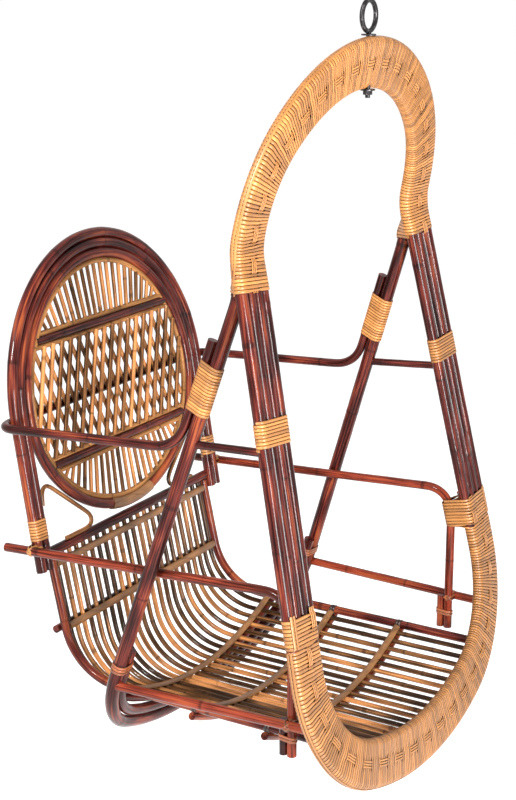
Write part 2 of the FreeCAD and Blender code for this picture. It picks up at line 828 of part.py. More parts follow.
def strut_winding(side):
    """Ties the arm loop's end to the back of the strut."""
    level = knee.z - arm_top_drop - strut_winding_drop
    at = strut_at(level)
    along = strut_at(level + peel_strand) - at
    half_wide = (rear_cane + arm_cane + clearance) / 2
    at += rear_back * (half_wide - rear_cane / 2)
    return winding("strut winding", on_side(at, side), on_side(along, side), rear_back, half_wide,
                   rear_cane / 2, rear_cane / 2, strut_winding_turns)


def stile_winding(side):
    at = back_point(side * (inner_stile_x + outer_stile_x) / 2, stile_winding_height)
    return winding("stile winding", at, back_up, across, (stile_step + stile_cane) / 2, stile_cane / 2,
                   stile_cane / 2, stile_winding_turns)


def post_binding(side):
    """Ties the stub to the back of the post, under the stretcher."""
    half_wide = (rail_cane + stub_cane + clearance) / 2
    at = Vec(rail_x, post_y() + half_wide - rail_cane / 2, post_binding_height)
    return winding("post binding", on_side(at, side), up, Vec(0, 1, 0), half_wide, rail_cane / 2,
                   rail_cane / 2, post_binding_turns)


def foot_binding(side):
    """Ties the end of the doubling cane to the foot of the strut."""
    corner = rear_corner(0)
    way = (knee + across * knee_x - corner).normalize()
    toward = way.cross(rear_back).normalize()
    toward = toward if toward.x < 0 else toward * -1
    straight = rear_corner_radius * tan((radians(90) + rear_splay - rear_turn) / 2) + doubler_rise / 2
    half_wide = (rear_cane + doubler_cane + clearance) / 2
    at = corner + way * straight + toward * (half_wide - rear_cane / 2)
    return winding("foot binding", on_side(at, side), on_side(way, side), on_side(toward, side), half_wide,
                   rear_cane / 2, rear_cane / 2, foot_binding_turns)


# All the pieces by name

def build():
    pieces = {}
    pieces["hanger_eye"] = eye_bolt()
    pieces["hanger_washers"] = Part.makeCompound([washer(top_washer), washer(low_washer)])
    pieces["hanger_nut"] = nut()

    drill = rod(bolt_foot, eye_centre, shank_diameter + 2 * bolt_clearance)
    for number in range(hoop_canes):
        offset = number * hoop_step - band_reach
        pieces["hoop_cane_%d" % (number + 1)] = tube(hoop_wire(offset), hoop_cane).cut(drill)
    bore = cover_radius - peel_wall
    pieces["arch_cover"] = arch_cover(cover_radius).cut(arch_cover(bore)).cut(drill)
    pieces["bottom_cover"] = bottom_cover(cover_radius).cut(bottom_cover(bore))

    pieces["rear_hoop"] = tube(rear_wire(), rear_cane)
    pieces["rear_hoop_doubler"] = doubler()
    pieces["arm_loop"] = arm_loop()

    cover = bottom_cover(cover_radius + clearance)
    rear_cutter = tube(rear_wire(), rear_cane + 2 * clearance)
    for name, side in sides:
        ends = [on_side(leg_point(leg_x(height), height), side) for height in (0, hoop_leg_length)]
        out = on_side(across, side)
        leg_cutters = [rod(ends[0] + out * offset, ends[1] + out * offset, hoop_cane + 2 * clearance)
                       for offset in (-hoop_step / 2, hoop_step / 2)]
        pieces["side_rail_" + name] = side_rail(side)
        pieces["post_stub_" + name] = post_stub(side)
        pieces["stretcher_" + name] = stretcher(side, rear_cutter, cover)
        pieces["upper_brace_" + name] = upper_brace(side, rear_cutter, leg_cutters)
        frame = scoop(side * seat_half_width, 0, 0, -hoop_bottom_reach, seat_frame_cane)
        pieces["seat_frame_" + name] = largest(frame.cut(cover))
        pieces["scroll_" + name] = scroll(side)
        pieces["leg_winding_" + name] = leg_winding(side)
        pieces["shoulder_winding_" + name] = shoulder_winding(side)
        pieces["strut_winding_" + name] = strut_winding(side)
        pieces["stile_winding_" + name] = stile_winding(side)
        pieces["post_binding_" + name] = post_binding(side)
        pieces["foot_binding_" + name] = foot_binding(side)

    rail_half = inner_stile_x - stile_cane / 2 - clearance
    pieces["seat_top_rail"] = rod(top_rail_centre - across * rail_half, top_rail_centre + across * rail_half,
                                  top_rail_cane)
    pieces["seat_slats"] = slats(cover)
    lath_half = seat_half_width - seat_frame_cane / 2 - clearance
    cross_half = seat_half_width + seat_frame_cane / 2 + cross_end_overhang
    for number in range(3):
        y = cross_pitch * (1 - number)
        pieces["cross_cane_%d" % (number + 1)] = dish_cane(y, cross_half, cross_arc_radius, cross_cane)
        pieces["seat_lath_%d" % (number + 1)] = dish_lath(y, lath_half)
    behind = Vec(0, seat_back_y, 0) + back_way * back_cross_height + back_out * rail_to_cross
    pieces["cross_cane_back"] = rod(behind - across * cross_half, behind + across * cross_half, cross_cane)
    pieces["seat_lath_back"] = straight_lath(back_cross_height, lath_half)
    pieces["seat_lath_top"] = straight_lath(seat_back_length - top_lath_drop, lath_half)

    pieces["back_stile_outer"] = stile(outer_stile_x)
    pieces["back_stile_inner"] = stile(inner_stile_x)
    pieces["back_oval"] = tube(oval_wire(0), stile_cane)
    pieces["back_oval_inner"] = tube(oval_wire(inner_oval_offset), inner_oval_cane)
    cutter = tube(oval_wire(inner_oval_offset), inner_oval_cane + 2 * clearance)
    pieces["oval_splice"] = largest(splice().cut(cutter))
    for name, height in (("upper", upper_bar_height), ("lower", lower_bar_height)):
        pieces["back_bar_" + name] = bar(height, bar_cane, cutter)
        trims = [bar(trim_height(height, way), bar_trim_cane, cutter) for way in (-1, 1)]
        pieces["back_bar_trim_" + name] = Part.makeCompound(trims)
    pieces["spokes_upper"] = spokes(upper_bar_height, 1, cutter)
    pieces["spokes_lower"] = spokes(lower_bar_height, -1, cutter)
    pieces["lattice_front"] = lattice(lattice_slant, -1, cutter)
    pieces["lattice_rear"] = lattice(-lattice_slant, 1, cutter)
    return pieces


def save(pieces):
    os.makedirs("parts", exist_ok=True)
    for name, shape in pieces.items():
        shape.translate(eye_centre * -1)
        shape.exportStep("parts/%s.step" % name)


save(build())
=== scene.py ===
"""Hanging cane chair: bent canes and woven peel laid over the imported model."""
import heapq
import math

import bpy
import numpy as np
from mathutils import Matrix, Vector
from mathutils.bvhtree import BVHTree


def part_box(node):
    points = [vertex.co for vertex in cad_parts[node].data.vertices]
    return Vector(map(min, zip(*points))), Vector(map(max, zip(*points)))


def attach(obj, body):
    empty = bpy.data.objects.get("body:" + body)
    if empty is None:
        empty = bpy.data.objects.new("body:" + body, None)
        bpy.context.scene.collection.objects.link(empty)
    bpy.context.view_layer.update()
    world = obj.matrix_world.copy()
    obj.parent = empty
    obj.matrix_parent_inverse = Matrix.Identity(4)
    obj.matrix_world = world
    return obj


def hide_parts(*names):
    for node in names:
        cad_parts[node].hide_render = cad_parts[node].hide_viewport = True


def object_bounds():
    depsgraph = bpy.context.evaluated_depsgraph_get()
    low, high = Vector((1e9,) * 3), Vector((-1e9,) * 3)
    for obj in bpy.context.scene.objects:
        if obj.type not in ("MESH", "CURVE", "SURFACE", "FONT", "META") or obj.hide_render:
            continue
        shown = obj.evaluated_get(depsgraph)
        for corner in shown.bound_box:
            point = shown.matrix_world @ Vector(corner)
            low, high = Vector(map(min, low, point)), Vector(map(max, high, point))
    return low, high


bl_info = {
    "name": "Cane Swing Chair",
    "version": (1, 0, 0),
    "blender": (4, 5, 0),
    "location": "View3D > Sidebar > Cane Chair",
    "description": "Dresses the hanging chair in bent cane, split laths and woven peel",
    "category": "Object",
}

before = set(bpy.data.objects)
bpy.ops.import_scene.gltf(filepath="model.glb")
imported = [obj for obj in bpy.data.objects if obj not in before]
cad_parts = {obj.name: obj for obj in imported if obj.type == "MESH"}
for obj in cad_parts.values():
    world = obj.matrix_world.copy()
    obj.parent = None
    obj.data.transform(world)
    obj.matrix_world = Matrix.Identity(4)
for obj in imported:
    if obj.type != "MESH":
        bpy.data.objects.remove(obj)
cad_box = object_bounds()

SIDES = ("left", "right")
HOOP_CANES = [f"hoop_cane_{number}" for number in range(1, 5)]
half = 0.5
tiny = 1e-12

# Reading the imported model: lengths in metres, shares, counts of points
merge_size = 0.00001
side_share = 0.2
ray_start = 0.0001
ray_samples = 60
ray_slack_share = 0.04
line_step = 0.001
dense_step = 0.002
ease_step = 0.006
ease_rounds = 4
tangent_points = 4
outline_points = 28

# Canes: where their joints lie, how far they stray, how much of a strut's end the peel hides
tone_shift = 3.0
joint_swing_pace = 1.7
joint_swing_share = 0.2
stray_noise = {"Scale": 14.0, "Detail": 2.0}
stray_gain = 2.0
still_end_share = 0.06
hidden_tail = 0.036

# Canes: facets, thickness as a share of the solid's, shade and how much it differs between canes
hoop_sizes = {"Sides": 18, "Waist": 0.96}
rear_sizes = {"Sides": 20, "Waist": 0.97, "Shade": 0.35, "Variety": 0.2}
rail_sizes = {"Shade": 0.3, "Variety": 0.3}
stretcher_sizes = {"Shade": 0.6, "Variety": 0.3}
slat_sizes = {"Sides": 10, "Joint Swell": 0.08, "Waist": 0.97}
back_sizes = {"Waist": 1.05}
stile_sizes = {"Waist": 1.05, "Shade": 0.44, "Variety": 0.4}
spoke_sizes = {"Sides": 8, "Joint Swell": 0.08, "Waist": 1.0}
lattice_sizes = {**spoke_sizes, "Shade": 0.55}
scroll_sizes = {"Shade": 0.44, "Variety": 0.4}

# Peel: how far each winding reaches
wound_inset = 0.0015
lashing_reach = 0.0085
tie_reach = 0.0095
shoulder_reach = 0.012
post_reach = 0.05

# Peel: one strip, its lift over the runners and its pinch beside them, with phases in turns
strip_facets = 6
under_share = 0.4
spread_shares = (0.9, 1.0)
spread_seed = 7.0
turn_slack = 0.001
lift_fade = 0.004
pinch_fade = 0.009
beside_turns = 0.9
last_turns = 1.5
runner_step = 0.0022
runner_width_share = 0.43
runner_crown_share = 0.8
runner_grain = 0.002
rise_turns = 0.3
fall_turns = 0.6
rim_strip = 0.0052
rim_overlap_share = 1.25
endless_turns = 100000

# Peel: plain windings, the two woven covers, their runners and the strip along their outer rim
plain_sizes = {"Base": 0.0002, "Lift": 0.0}
winding_sizes = {"Rise": 0.0012}
cover_sizes = {"Lift": 0.001, "Squeeze": 0.4, "Lane Pitch": 0.0054, "Zone": 0.0085}
arch_sizes = {**cover_sizes, "Pitch": 0.0056, "Width": 0.0059, "Blend From": 0.0, "Blend To": 0.065,
              "Shade": 0.5, "Variety": 1.2, "Base": 0.0008}
bottom_sizes = {**cover_sizes, "Pitch": 0.006, "Width": 0.0063, "Blend From": 0.052, "Blend To": 0.057,
                "Shade": 0.55, "Variety": 0.9}
runner_tones = {"Shade": 0.8, "Variety": 0.4}
rim_sizes = {"Lanes": 1, "Over": 0, "Under": endless_turns, "Lane Pitch": rim_strip * rim_overlap_share,
             "Lift": 0.0004, "Shade": 0.42, "Variety": 0.3}

# Finishes of cane: name, colour, its shades from dark to light, gloss, roughness, variety
CANE_LOOKS = {
    "mahogany_cane": ("mahogany cane", "mahogany", (0.12, 0.55, 1.5), 0.6, 0.32, 0.5),
    "red_cane": ("red cane", "red", (0.16, 0.6, 1.2), 0.6, 0.3, 0.35),
    "slat_cane": ("brown slat cane", "slat", (0.14, 0.6, 1.2, 2.8), 0.6, 0.34, 0.9),
    "fan_cane": ("honey fan cane", "fan", (0.2, 0.75, 1.2, 2.0), 0.3, 0.36, 0.65),
    "natural_cane": ("natural cane", "natural", (0.4, 0.85, 1.15, 1.6), 0.3, 0.36, 0.3),
}

# Finishes of peel: name, colour, its shades from dark to light, roughness
PEEL_LOOKS = {
    "natural_peel": ("natural peel", "peel", (0.5, 1.0, 1.45), 0.42),
    "stained_peel": ("stained peel", "stained", (0.5, 1.0, 1.7), 0.38),
    "dark_peel": ("dark peel", "stained", (0.03, 0.08, 0.2), 0.4),
}
lath_shades = (0.22, 0.55, 1.0)
iron_shades = (1.0, 5.0)

# Grain of the finishes: waves to the metre along and across, detail, roughness
cane_streaks = ((9.0, 420.0, 420.0), 4.0, 0.6)
cane_blotches = ((11.0, 60.0, 60.0), 2.0)
cane_pores = ((150.0, 1500.0, 1500.0), 2.0)
peel_fibres = ((18.0, 2600.0, 40.0), 3.0, 0.6)
peel_patches = ((14.0, 90.0, 40.0), 2.0)
lath_streaks = ((12.0, 420.0, 420.0), 4.0, 0.6)
lath_blotches = ((18.0, 30.0, 30.0), 2.0)
iron_dents = ((160.0, 160.0, 160.0), 3.0)
iron_crust = ((900.0, 900.0, 900.0), 3.0, 0.65)
floor_specks = ((3.0, 3.0, 3.0), 2.0)

# How strongly each grain moves the shade, and where the shades stand on their ramp
cane_streak_share = 1.8
cane_blotch_share = 1.3
cane_stops = (0.15, 0.42, 0.64, 0.98)
peel_tone_share = 0.55
peel_fibre_share = 1.1
peel_patch_share = 1.0
peel_stops = (0.08, 0.48, 0.9)
lath_streak_share = 0.9
lath_blotch_share = 1.2
lath_stops = (0.1, 0.5, 0.9)

# Smooth steps of the finishes: from and to, and the values there
cane_ring_steps = (0.35, 0.95, 0.0, 0.62)
cane_pore_steps = (0.62, 0.74, 0.0, 0.35)
cane_rough_steps = (0.25, 0.75)
cane_rough_spread = (-0.07, 0.09)
# The peel's edge and low steps paint shade: at the edges of each strip and towards the bottom of the chair
peel_edge_painted_shade_steps = (0.62, 1.0, 0.0, 0.85)
peel_low_painted_shade_steps = (-0.45, -1.15, 0.0, 0.6)
peel_rough_steps = (0.3, 0.7)
peel_rough_spread = (-0.08, 0.1)
lath_ring_steps = (0.0, 0.035, 0.6, 0.0)
lath_rough_steps = (0.25, 0.75, 0.3, 0.48)
iron_rub_steps = (0.72, 0.9)
iron_rough_steps = (0.3, 0.7, 0.34, 0.58)

# Darker places, with painted shade at the peel's strip edges and low on the peel, joints of the laths,
# gloss, and the depth and strength of each relief
ring_dark_share = 0.35
pore_dark_share = 0.5
edge_painted_shade_share = 0.45
lath_dark_share = 0.4
peel_low_painted_shade_tint = (0.5, 0.52, 0.6)
lath_joint_spacing = 0.15
lath_joint_shifts = (2.3, 1.9)
joint_ridge_share = 1.2
iron_rub_share = 0.4
iron_relief_share = 0.3
cane_gloss = {"IOR": 1.15, "Coat IOR": 1.28, "Coat Roughness": 0.07}
peel_gloss = {"Coat Weight": 0.18, "Coat Roughness": 0.3}
lath_gloss = {"Coat Weight": 0.25, "Coat Roughness": 0.2}
iron_gloss = {"Metallic": 0.85}
cane_relief = (0.0006, 0.35)
peel_relief = (0.0003, 0.4)
lath_relief = (0.0005, 0.35)
iron_relief = (0.0008, 0.5)

# Stage: camera at the photograph's angle, place and size of the lamps, floor
camera_place = (-2.410, -1.22743, 0.13474)
camera_right = (0.5105, -0.8599, 0.0)
camera_up = (0.2342, 0.1390, 0.9623)
camera_lens = 75.27
sensor_width = 36.0
LAMPS = {"key": ((-2.9, 0.4, 1.5), (0.5, 0.5)), "fill": ((-1.6, -2.6, -0.6), (0.75, 1.4))}
white = (1.0, 1.0, 1.0, 1.0)
floor_tones = ((0.0, (0.86, 0.86, 0.86)), (1.0, (0.9, 0.9, 0.9)))
floor_glow = 0.8
floor_rough = 0.9


# What the user may change

def length(name, description, default, low):
    return bpy.props.FloatProperty(name=name, description=description, default=default, min=low,
                                   unit="LENGTH")


def share(name, description, default, high, low=0.0):
    return bpy.props.FloatProperty(name=name, description=description, default=default, min=low, max=high,
                                   subtype="FACTOR")


def strength(name, description, default, unit="NONE"):
    return bpy.props.FloatProperty(name=name, description=description, default=default, min=0.0, unit=unit)


def colour(name, description, default):
    return bpy.props.FloatVectorProperty(name=name, description=description, default=default,
                                         subtype="COLOR")


class ChairSettings(bpy.types.PropertyGroup):
    """Sizes and colours of the chair's canes and peel."""
    cane_step: length("Cane step", "Length of one facet of a cane", 0.005, 0.001)
    cane_sides: bpy.props.IntProperty(name="Cane sides", description="Facets round a cane", default=14,
                                      min=5)
    joint_spacing: length("Joint spacing", "Length of stem between joints", 0.17, 0.02)
    joint_length: length("Joint length", "Half length of a joint's ring", 0.007, 0.001)
    joint_swell: share("Joint swell", "Share by which a joint is thicker", 0.03, 0.3)
    unevenness: share("Unevenness", "Share by which a cane's thickness varies", 0.03, 0.3)
    wobble: length("Wobble", "How far a cane strays from its line", 0.0004, 0.0)
    strip_pitch: length("Strip pitch", "Advance of the peel for each turn", 0.0053, 0.001)
    strip_overlap: share("Strip overlap", "Strip width as a share of its pitch", 1.08, 1.5, 0.5)
    strip_rise: length("Strip rise", "Height of a peel strip's crown", 0.0007, 0.0001)
    mahogany: colour("Mahogany", "Stain of the hoops and struts", (0.075, 0.011, 0.008))
    streak: colour("Streaks", "Where the stain is thin", (0.29, 0.066, 0.02))
    red: colour("Red", "Stain of the side rails and stretchers", (0.20, 0.030, 0.014))
    slat: colour("Slats", "Colour of the seat slats", (0.19, 0.077, 0.025))
    fan: colour("Fans", "Colour of the spokes and lattice", (0.33, 0.135, 0.045))
    natural: colour("Natural cane", "Colour of bare cane", (0.34, 0.15, 0.05))
    peel: colour("Peel", "Colour of the woven peel", (0.44, 0.177, 0.043))
    stained: colour("Stained peel", "Colour of the dark lashings", (0.33, 0.085, 0.022))
    iron: colour("Iron", "Colour of the hanging eye", (0.025, 0.023, 0.024))


class StageSettings(bpy.types.PropertyGroup):
    """Floor and light."""
    floor_drop: length("Floor drop", "Height of the chair above the floor", 0.4, 0.0)
    floor_size: length("Floor size", "Width of the floor", 200.0, 1.0)
    sky: strength("Sky", "Strength of the light from all round", 0.24)
    key: strength("Key", "Power of the main lamp in watts", 180.0, "POWER")
    fill: strength("Fill", "Power of the second lamp in watts", 175.0, "POWER")


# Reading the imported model

def read(items, name, columns, kind=np.float32):
    """One property of all items, as rows with so many columns."""
    values = np.empty(len(items) * columns, kind)
    items.foreach_get(name, values)
    return values.reshape(-1, columns)


def surface(node):
    """Vertices, their normals and the triangles of a node's mesh."""
    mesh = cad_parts[node].data
    points = read(mesh.vertices, "co", 3).astype(float)
    order = read(mesh.loops, "vertex_index", 1, np.int32).ravel()
    normals = np.zeros_like(points)
    normals[order] = read(mesh.corner_normals, "vector", 3)
    return points, normals, order.reshape(-1, 3)


def merged_points(points):
    """For each point the number of its place, the same for points that coincide."""
    return np.unique(np.round(points / merge_size), axis=0, return_inverse=True)[1].reshape(-1)


def grouped(count, links):
    """The group number of each of count points, where each row of links joins its points."""
    group = np.arange(count)
    while True:
        lowest = group[links].min(axis=1)
        joined = group.copy()
        for column in links.T:
            np.minimum.at(joined, column, lowest)
        joined = joined[joined]
        if (joined == group).all():
            return group
        group = joined


def solids(node):
    """Each solid of a node as (points, normals, triangles)."""
    points, normals, triangles = surface(node)
    merged = merged_points(points)
    group = grouped(merged.max() + 1, merged[triangles])[merged]
    for number in np.unique(group):
        chosen = np.flatnonzero(group == number)
        place = np.full(len(points), -1)
        place[chosen] = np.arange(len(chosen))
        own = triangles[group[triangles[:, 0]] == number]
        yield points[chosen], normals[chosen], place[own]


def tube_radius(points, normals, triangles):
    """Half the way through a cane, measured from points on its skin."""
    tree = BVHTree.FromPolygons(points.tolist(), triangles.tolist())
    picks = np.linspace(0, len(points) - 1, min(ray_samples, len(points))).astype(int)
    depths = []
    for point, normal in zip(points[picks], normals[picks]):
        start = Vector(point - normal * ray_start)
        depth = tree.ray_cast(start, Vector(-normal))[3]
        if depth is not None:
            depths.append(depth + ray_start)
    depths = np.array(depths)
    alike = np.abs(depths[:, None] / depths - 1) < ray_slack_share
    return np.median(depths[alike[alike.sum(axis=1).argmax()]]) / 2


def area(points, triangles):
    """Twice the area of each triangle."""
    first, second, third = (points[triangles[:, k]] for k in range(3))
    return np.linalg.norm(np.cross(second - first, third - first), axis=1)


def walk(start, links):
    """Length of the shortest way from start to each point over weighted links."""
    reach = {start: 0.0}
    queue = [(0.0, start)]
    while queue:
        gone, point = heapq.heappop(queue)
        if gone > reach[point]:
            continue
        for other, cost in links[point]:
            if gone + cost < reach.get(other, math.inf):
                reach[other] = gone + cost
                heapq.heappush(queue, (gone + cost, other))
    return reach


def bent_cane(points, normals, triangles):
    """Centre line of a bent cane from one end to the other, and its radius."""
    radius = tube_radius(points, normals, triangles)
    centres = points - normals * radius
    faces = grouped(len(points), triangles)[triangles[:, 0]]
    shrunk = area(centres, triangles)
    full = area(points, triangles)
    sides = [face for face in np.unique(faces)
             if shrunk[faces == face].sum() < side_share * full[faces == face].sum()]
    skin = triangles[np.isin(faces, sides)]
    merged = merged_points(points)
    middle = np.zeros((merged.max() + 1, 3))
    middle[merged[skin.ravel()]] = centres[skin.ravel()]
    links = {}
    for triangle in merged[skin]:
        for first, second in ((0, 1), (1, 2), (2, 0)):
            a, b = int(triangle[first]), int(triangle[second])
            cost = float(np.linalg.norm(middle[a] - middle[b]))
            links.setdefault(a, []).append((b, cost))
            links.setdefault(b, []).append((a, cost))
    reach = walk(next(iter(links)), links)
    reach = walk(max(reach, key=reach.get), links)
    line, bunch, begun = [], [], 0.0
    for point in sorted(reach, key=reach.get):
        if bunch and reach[point] - begun > line_step:
            line.append(np.mean(bunch, axis=0))
            bunch = []
        if not bunch:
            begun = reach[point]
        bunch.append(middle[point])
    line.append(np.mean(bunch, axis=0))
    return eased(onward(np.array(line))), radius


def straight_cane(points, _, triangles):
    """Centre line of a straight cane, out to the tips of its shaped ends, and its radius."""
    corners = points[triangles]
    facing = np.cross(corners[:, 1] - corners[:, 0], corners[:, 2] - corners[:, 0])
    size = np.linalg.norm(facing, axis=1)
    facing = facing / np.maximum(size, tiny)[:, None]
    axis = np.linalg.eigh((facing * size[:, None]).T @ facing)[1][:, 0]
    span = points @ axis
    volume = (corners[:, 0] * np.cross(corners[:, 1], corners[:, 2])).sum() / 6
    radius = math.sqrt(abs(volume) / math.pi / (span.max() - span.min()))
    side = np.abs(facing @ axis) < side_share
    inner = corners[side].mean(axis=1) - facing[side] * radius
    middle = np.average(inner, axis=0, weights=size[side])
    middle -= axis * (middle @ axis)
    return np.array([middle + axis * span.min(), middle + axis * span.max()]), radius


def canes(nodes, straight=False):
    """(centre line, radius) of every cane in the nodes."""
    reader = straight_cane if straight else bent_cane
    return [reader(*solid) for node in nodes for solid in solids(node)]


# Lines

def unit(vector):
    return vector / np.linalg.norm(vector)


def lengths(line):
    """Length of the line up to each of its points."""
    steps = np.linalg.norm(np.diff(line, axis=0), axis=1)
    return np.concatenate([[0.0], np.cumsum(steps)])


def dense(line, step=dense_step):
    """The line with points at even steps."""
    along = lengths(line)
    places = np.linspace(0, along[-1], max(2, int(along[-1] / step)))
    return np.stack([np.interp(places, along, line[:, k]) for k in range(3)], axis=1)


def onward(line):
    """The line without the points at which it turns back on itself."""
    while True:
        steps = np.diff(line, axis=0)
        back = (steps[:-1] * steps[1:]).sum(axis=1) <= 0
        if not back.any():
            return line
        keep = np.ones(len(line), bool)
        keep[1 + np.flatnonzero(back)] = False
        line = line[keep]


def eased(line):
    """The line at even steps with its small corners rounded."""
    line = dense(line, ease_step)
    for _ in range(ease_rounds):
        line[1:-1] = (line[:-2] + line[1:-1] * 2 + line[2:]) / 4
    return line


def shortened(line, cut):
    """The line without a length at each end."""
    along = lengths(line)
    return line[(along > cut) & (along < along[-1] - cut)]


def inside(line, at):
    """The number of a point that has neighbours enough on both sides."""
    return np.clip(at, tangent_points, len(line) - 1 - tangent_points)


def direction(line, at):
    """The way that the line runs at one of its points."""
    return unit(line[min(at + tangent_points, len(line) - 1)] - line[max(at - tangent_points, 0)])


def middle_line(band):
    """Line midway between the two inner canes of a band."""
    first, second = (dense(line) for line, _ in band[1:3])
    nearest = [second[np.linalg.norm(second - point, axis=1).argmin()] for point in first]
    return (first + np.array(nearest)) / 2


def plane_normal(line):
    """Normal of the plane that a bent line lies in, towards the rear."""
    normal = np.linalg.svd(line - line.mean(axis=0), full_matrices=False)[2][2]
    return normal if normal[1] > 0 else -normal


def crossing(centre, axis, line):
    """Point of a line in the plane through centre, the one nearest to it."""
    points = dense(line)
    gap = np.abs((points - centre) @ axis) + np.linalg.norm(points - centre, axis=1) * side_share
    return points[gap.argmin()]


def circles_at(centre, axis, facing, rods):
    """Where canes cross the plane through centre, as circles in that plane."""
    across = np.cross(axis, facing)
    offsets = [(crossing(centre, axis, line) - centre, radius) for line, radius in rods]
    return [(offset @ across, offset @ facing, radius) for offset, radius in offsets]


def hull(points):
    """The taut outline round flat points, anticlockwise."""
    ordered = sorted(map(tuple, points))

    def one_side(points):
        chain = []
        for point in points:
            while len(chain) > 1:
                (ax, ay), (bx, by) = chain[-2:]
                if (bx - ax) * (point[1] - ay) - (by - ay) * (point[0] - ax) > 0:
                    break
                chain.pop()
            chain.append(point)
        return chain[:-1]
    return np.array(one_side(ordered) + one_side(ordered[::-1]))


def outline_shape(circles):
    """Flat points drawn taut round circles (x, y, radius), starting at their lowest x."""
    angles = np.linspace(0, 2 * math.pi, outline_points, endpoint=False)
    ring = np.stack([np.cos(angles), np.sin(angles)], axis=1)
    shape = hull(np.concatenate([np.array([x, y]) + ring * radius for x, y, radius in circles]))
    return np.roll(shape, -int(shape[:, 0].argmin()), axis=0)


def outline_reach(circles):
    """Length of the taut outline round circles."""
    shape = outline_shape(circles)
    return np.linalg.norm(shape - np.roll(shape, 1, axis=0), axis=1).sum()


# Node trees

class Value:
    """A node's output. Sums of it add nodes to its tree, and a name in brackets gives another output."""

    def __init__(self, socket):
        self.socket = socket
        self.tree = socket.id_data

    def __getitem__(self, name):
        return Value(self.socket.node.outputs[name])

    def __add__(self, other):
        return calc("ADD", self, other)

    def __sub__(self, other):
        return calc("SUBTRACT", self, other)

    def __rsub__(self, other):
        return calc("SUBTRACT", other, self)

    def __mul__(self, other):
        return calc("MULTIPLY", self, other)

    def __truediv__(self, other):
        return calc("DIVIDE", self, other)

    def __mod__(self, other):
        return calc("FLOORED_MODULO", self, other)

    def __lt__(self, other):
        return calc("LESS_THAN", self, other)

    def __gt__(self, other):
        return calc("GREATER_THAN", self, other)

    def __abs__(self):
        return calc("ABSOLUTE", self)


def feed(sockets, values):
    """Links each named socket to a node's output, or sets it to a plain value."""
    for key, value in values.items():
        if isinstance(value, Value):
            value.tree.links.new(value.socket, sockets[key])
        else:
            sockets[key].default_value = value


def add(tree, kind, inputs=None, out=0, **settings):
    """A new node with its settings and inputs; gives one of its outputs."""
    node = tree.nodes.new(kind)
    for name, value in settings.items():
        setattr(node, name, value)
    feed(node.inputs, inputs or {})
    return Value(node.outputs[out])


def calc(operation, *values):
    tree = next(value.tree for value in values if isinstance(value, Value))
    return add(tree, "ShaderNodeMath", dict(enumerate(values)), operation=operation)


def vector_calc(operation, first, *others):
    keys = (0, "Scale") if operation == "SCALE" else (0, 1)
    inputs = dict(zip(keys, (first, *others)))
    return add(first.tree, "ShaderNodeVectorMath", inputs, operation=operation)


def moved(value, noise, gain):
    """The value moved up and down as the noise leaves its middle."""
    return (noise - half) * gain + value


def smooth_step(value, start, end, low=0.0, high=1.0):
    """A smooth step from low at start to high at end."""
    inputs = {"Value": value, "From Min": start, "From Max": end, "To Min": low, "To Max": high}
    return add(value.tree, "ShaderNodeMapRange", inputs, interpolation_type="SMOOTHSTEP")


def split(vector):
    parts = add(vector.tree, "ShaderNodeSeparateXYZ", {0: vector})
    return parts["X"], parts["Y"], parts["Z"]


def join(first, *others):
    return add(first.tree, "ShaderNodeCombineXYZ", dict(enumerate((first, *others))))


def stored(geometry, name, value, data_type="FLOAT"):
    inputs = {"Geometry": geometry, "Name": name, "Value": value}
    return add(geometry.tree, "GeometryNodeStoreNamedAttribute", inputs, data_type=data_type, domain="POINT")


def named(tree, name, data_type="FLOAT"):
    return add(tree, "GeometryNodeInputNamedAttribute", {"Name": name}, data_type=data_type)


def chance(number, seed, low=0.0, high=1.0):
    """A random value that stays the same for the same number."""
    node = number.tree.nodes.new("FunctionNodeRandomValue")
    node.data_type = "FLOAT"
    sockets = {socket.identifier: socket for socket in node.inputs}
    feed(sockets, {"Min_001": low, "Max_001": high, "ID": number, "Seed": seed})
    return Value(next(socket for socket in node.outputs if socket.enabled))


def shade_of(given, number):
    """The own shade of one cane or strip, round the middle one."""
    return moved(given["Shade"], chance(number, given["Seed"]), given["Variety"])


def new_tree(name, sockets):
    """An empty geometry tree with named inputs."""
    tree = bpy.data.node_groups.new(name, "GeometryNodeTree")
    face = tree.interface
    face.new_socket("Geometry", in_out="INPUT", socket_type="NodeSocketGeometry")
    for label, kind, default in sockets:
        socket = face.new_socket(label, in_out="INPUT", socket_type="NodeSocket" + kind)
        if default is not None:
            socket.default_value = default
    face.new_socket("Geometry", in_out="OUTPUT", socket_type="NodeSocketGeometry")
    return tree, add(tree, "NodeGroupInput"), tree.nodes.new("NodeGroupOutput").inputs


def close_tree(geometry, material, result):
    """The end of each tree: smooth faces, plain mesh, finish."""
    tree = geometry.tree
    geometry = add(tree, "GeometryNodeSetShadeSmooth", {"Geometry": geometry})
    geometry = add(tree, "GeometryNodeRealizeInstances", {"Geometry": geometry})
    geometry = add(tree, "GeometryNodeSetMaterial", {"Geometry": geometry, "Material": material})
    feed(result, {"Geometry": geometry})


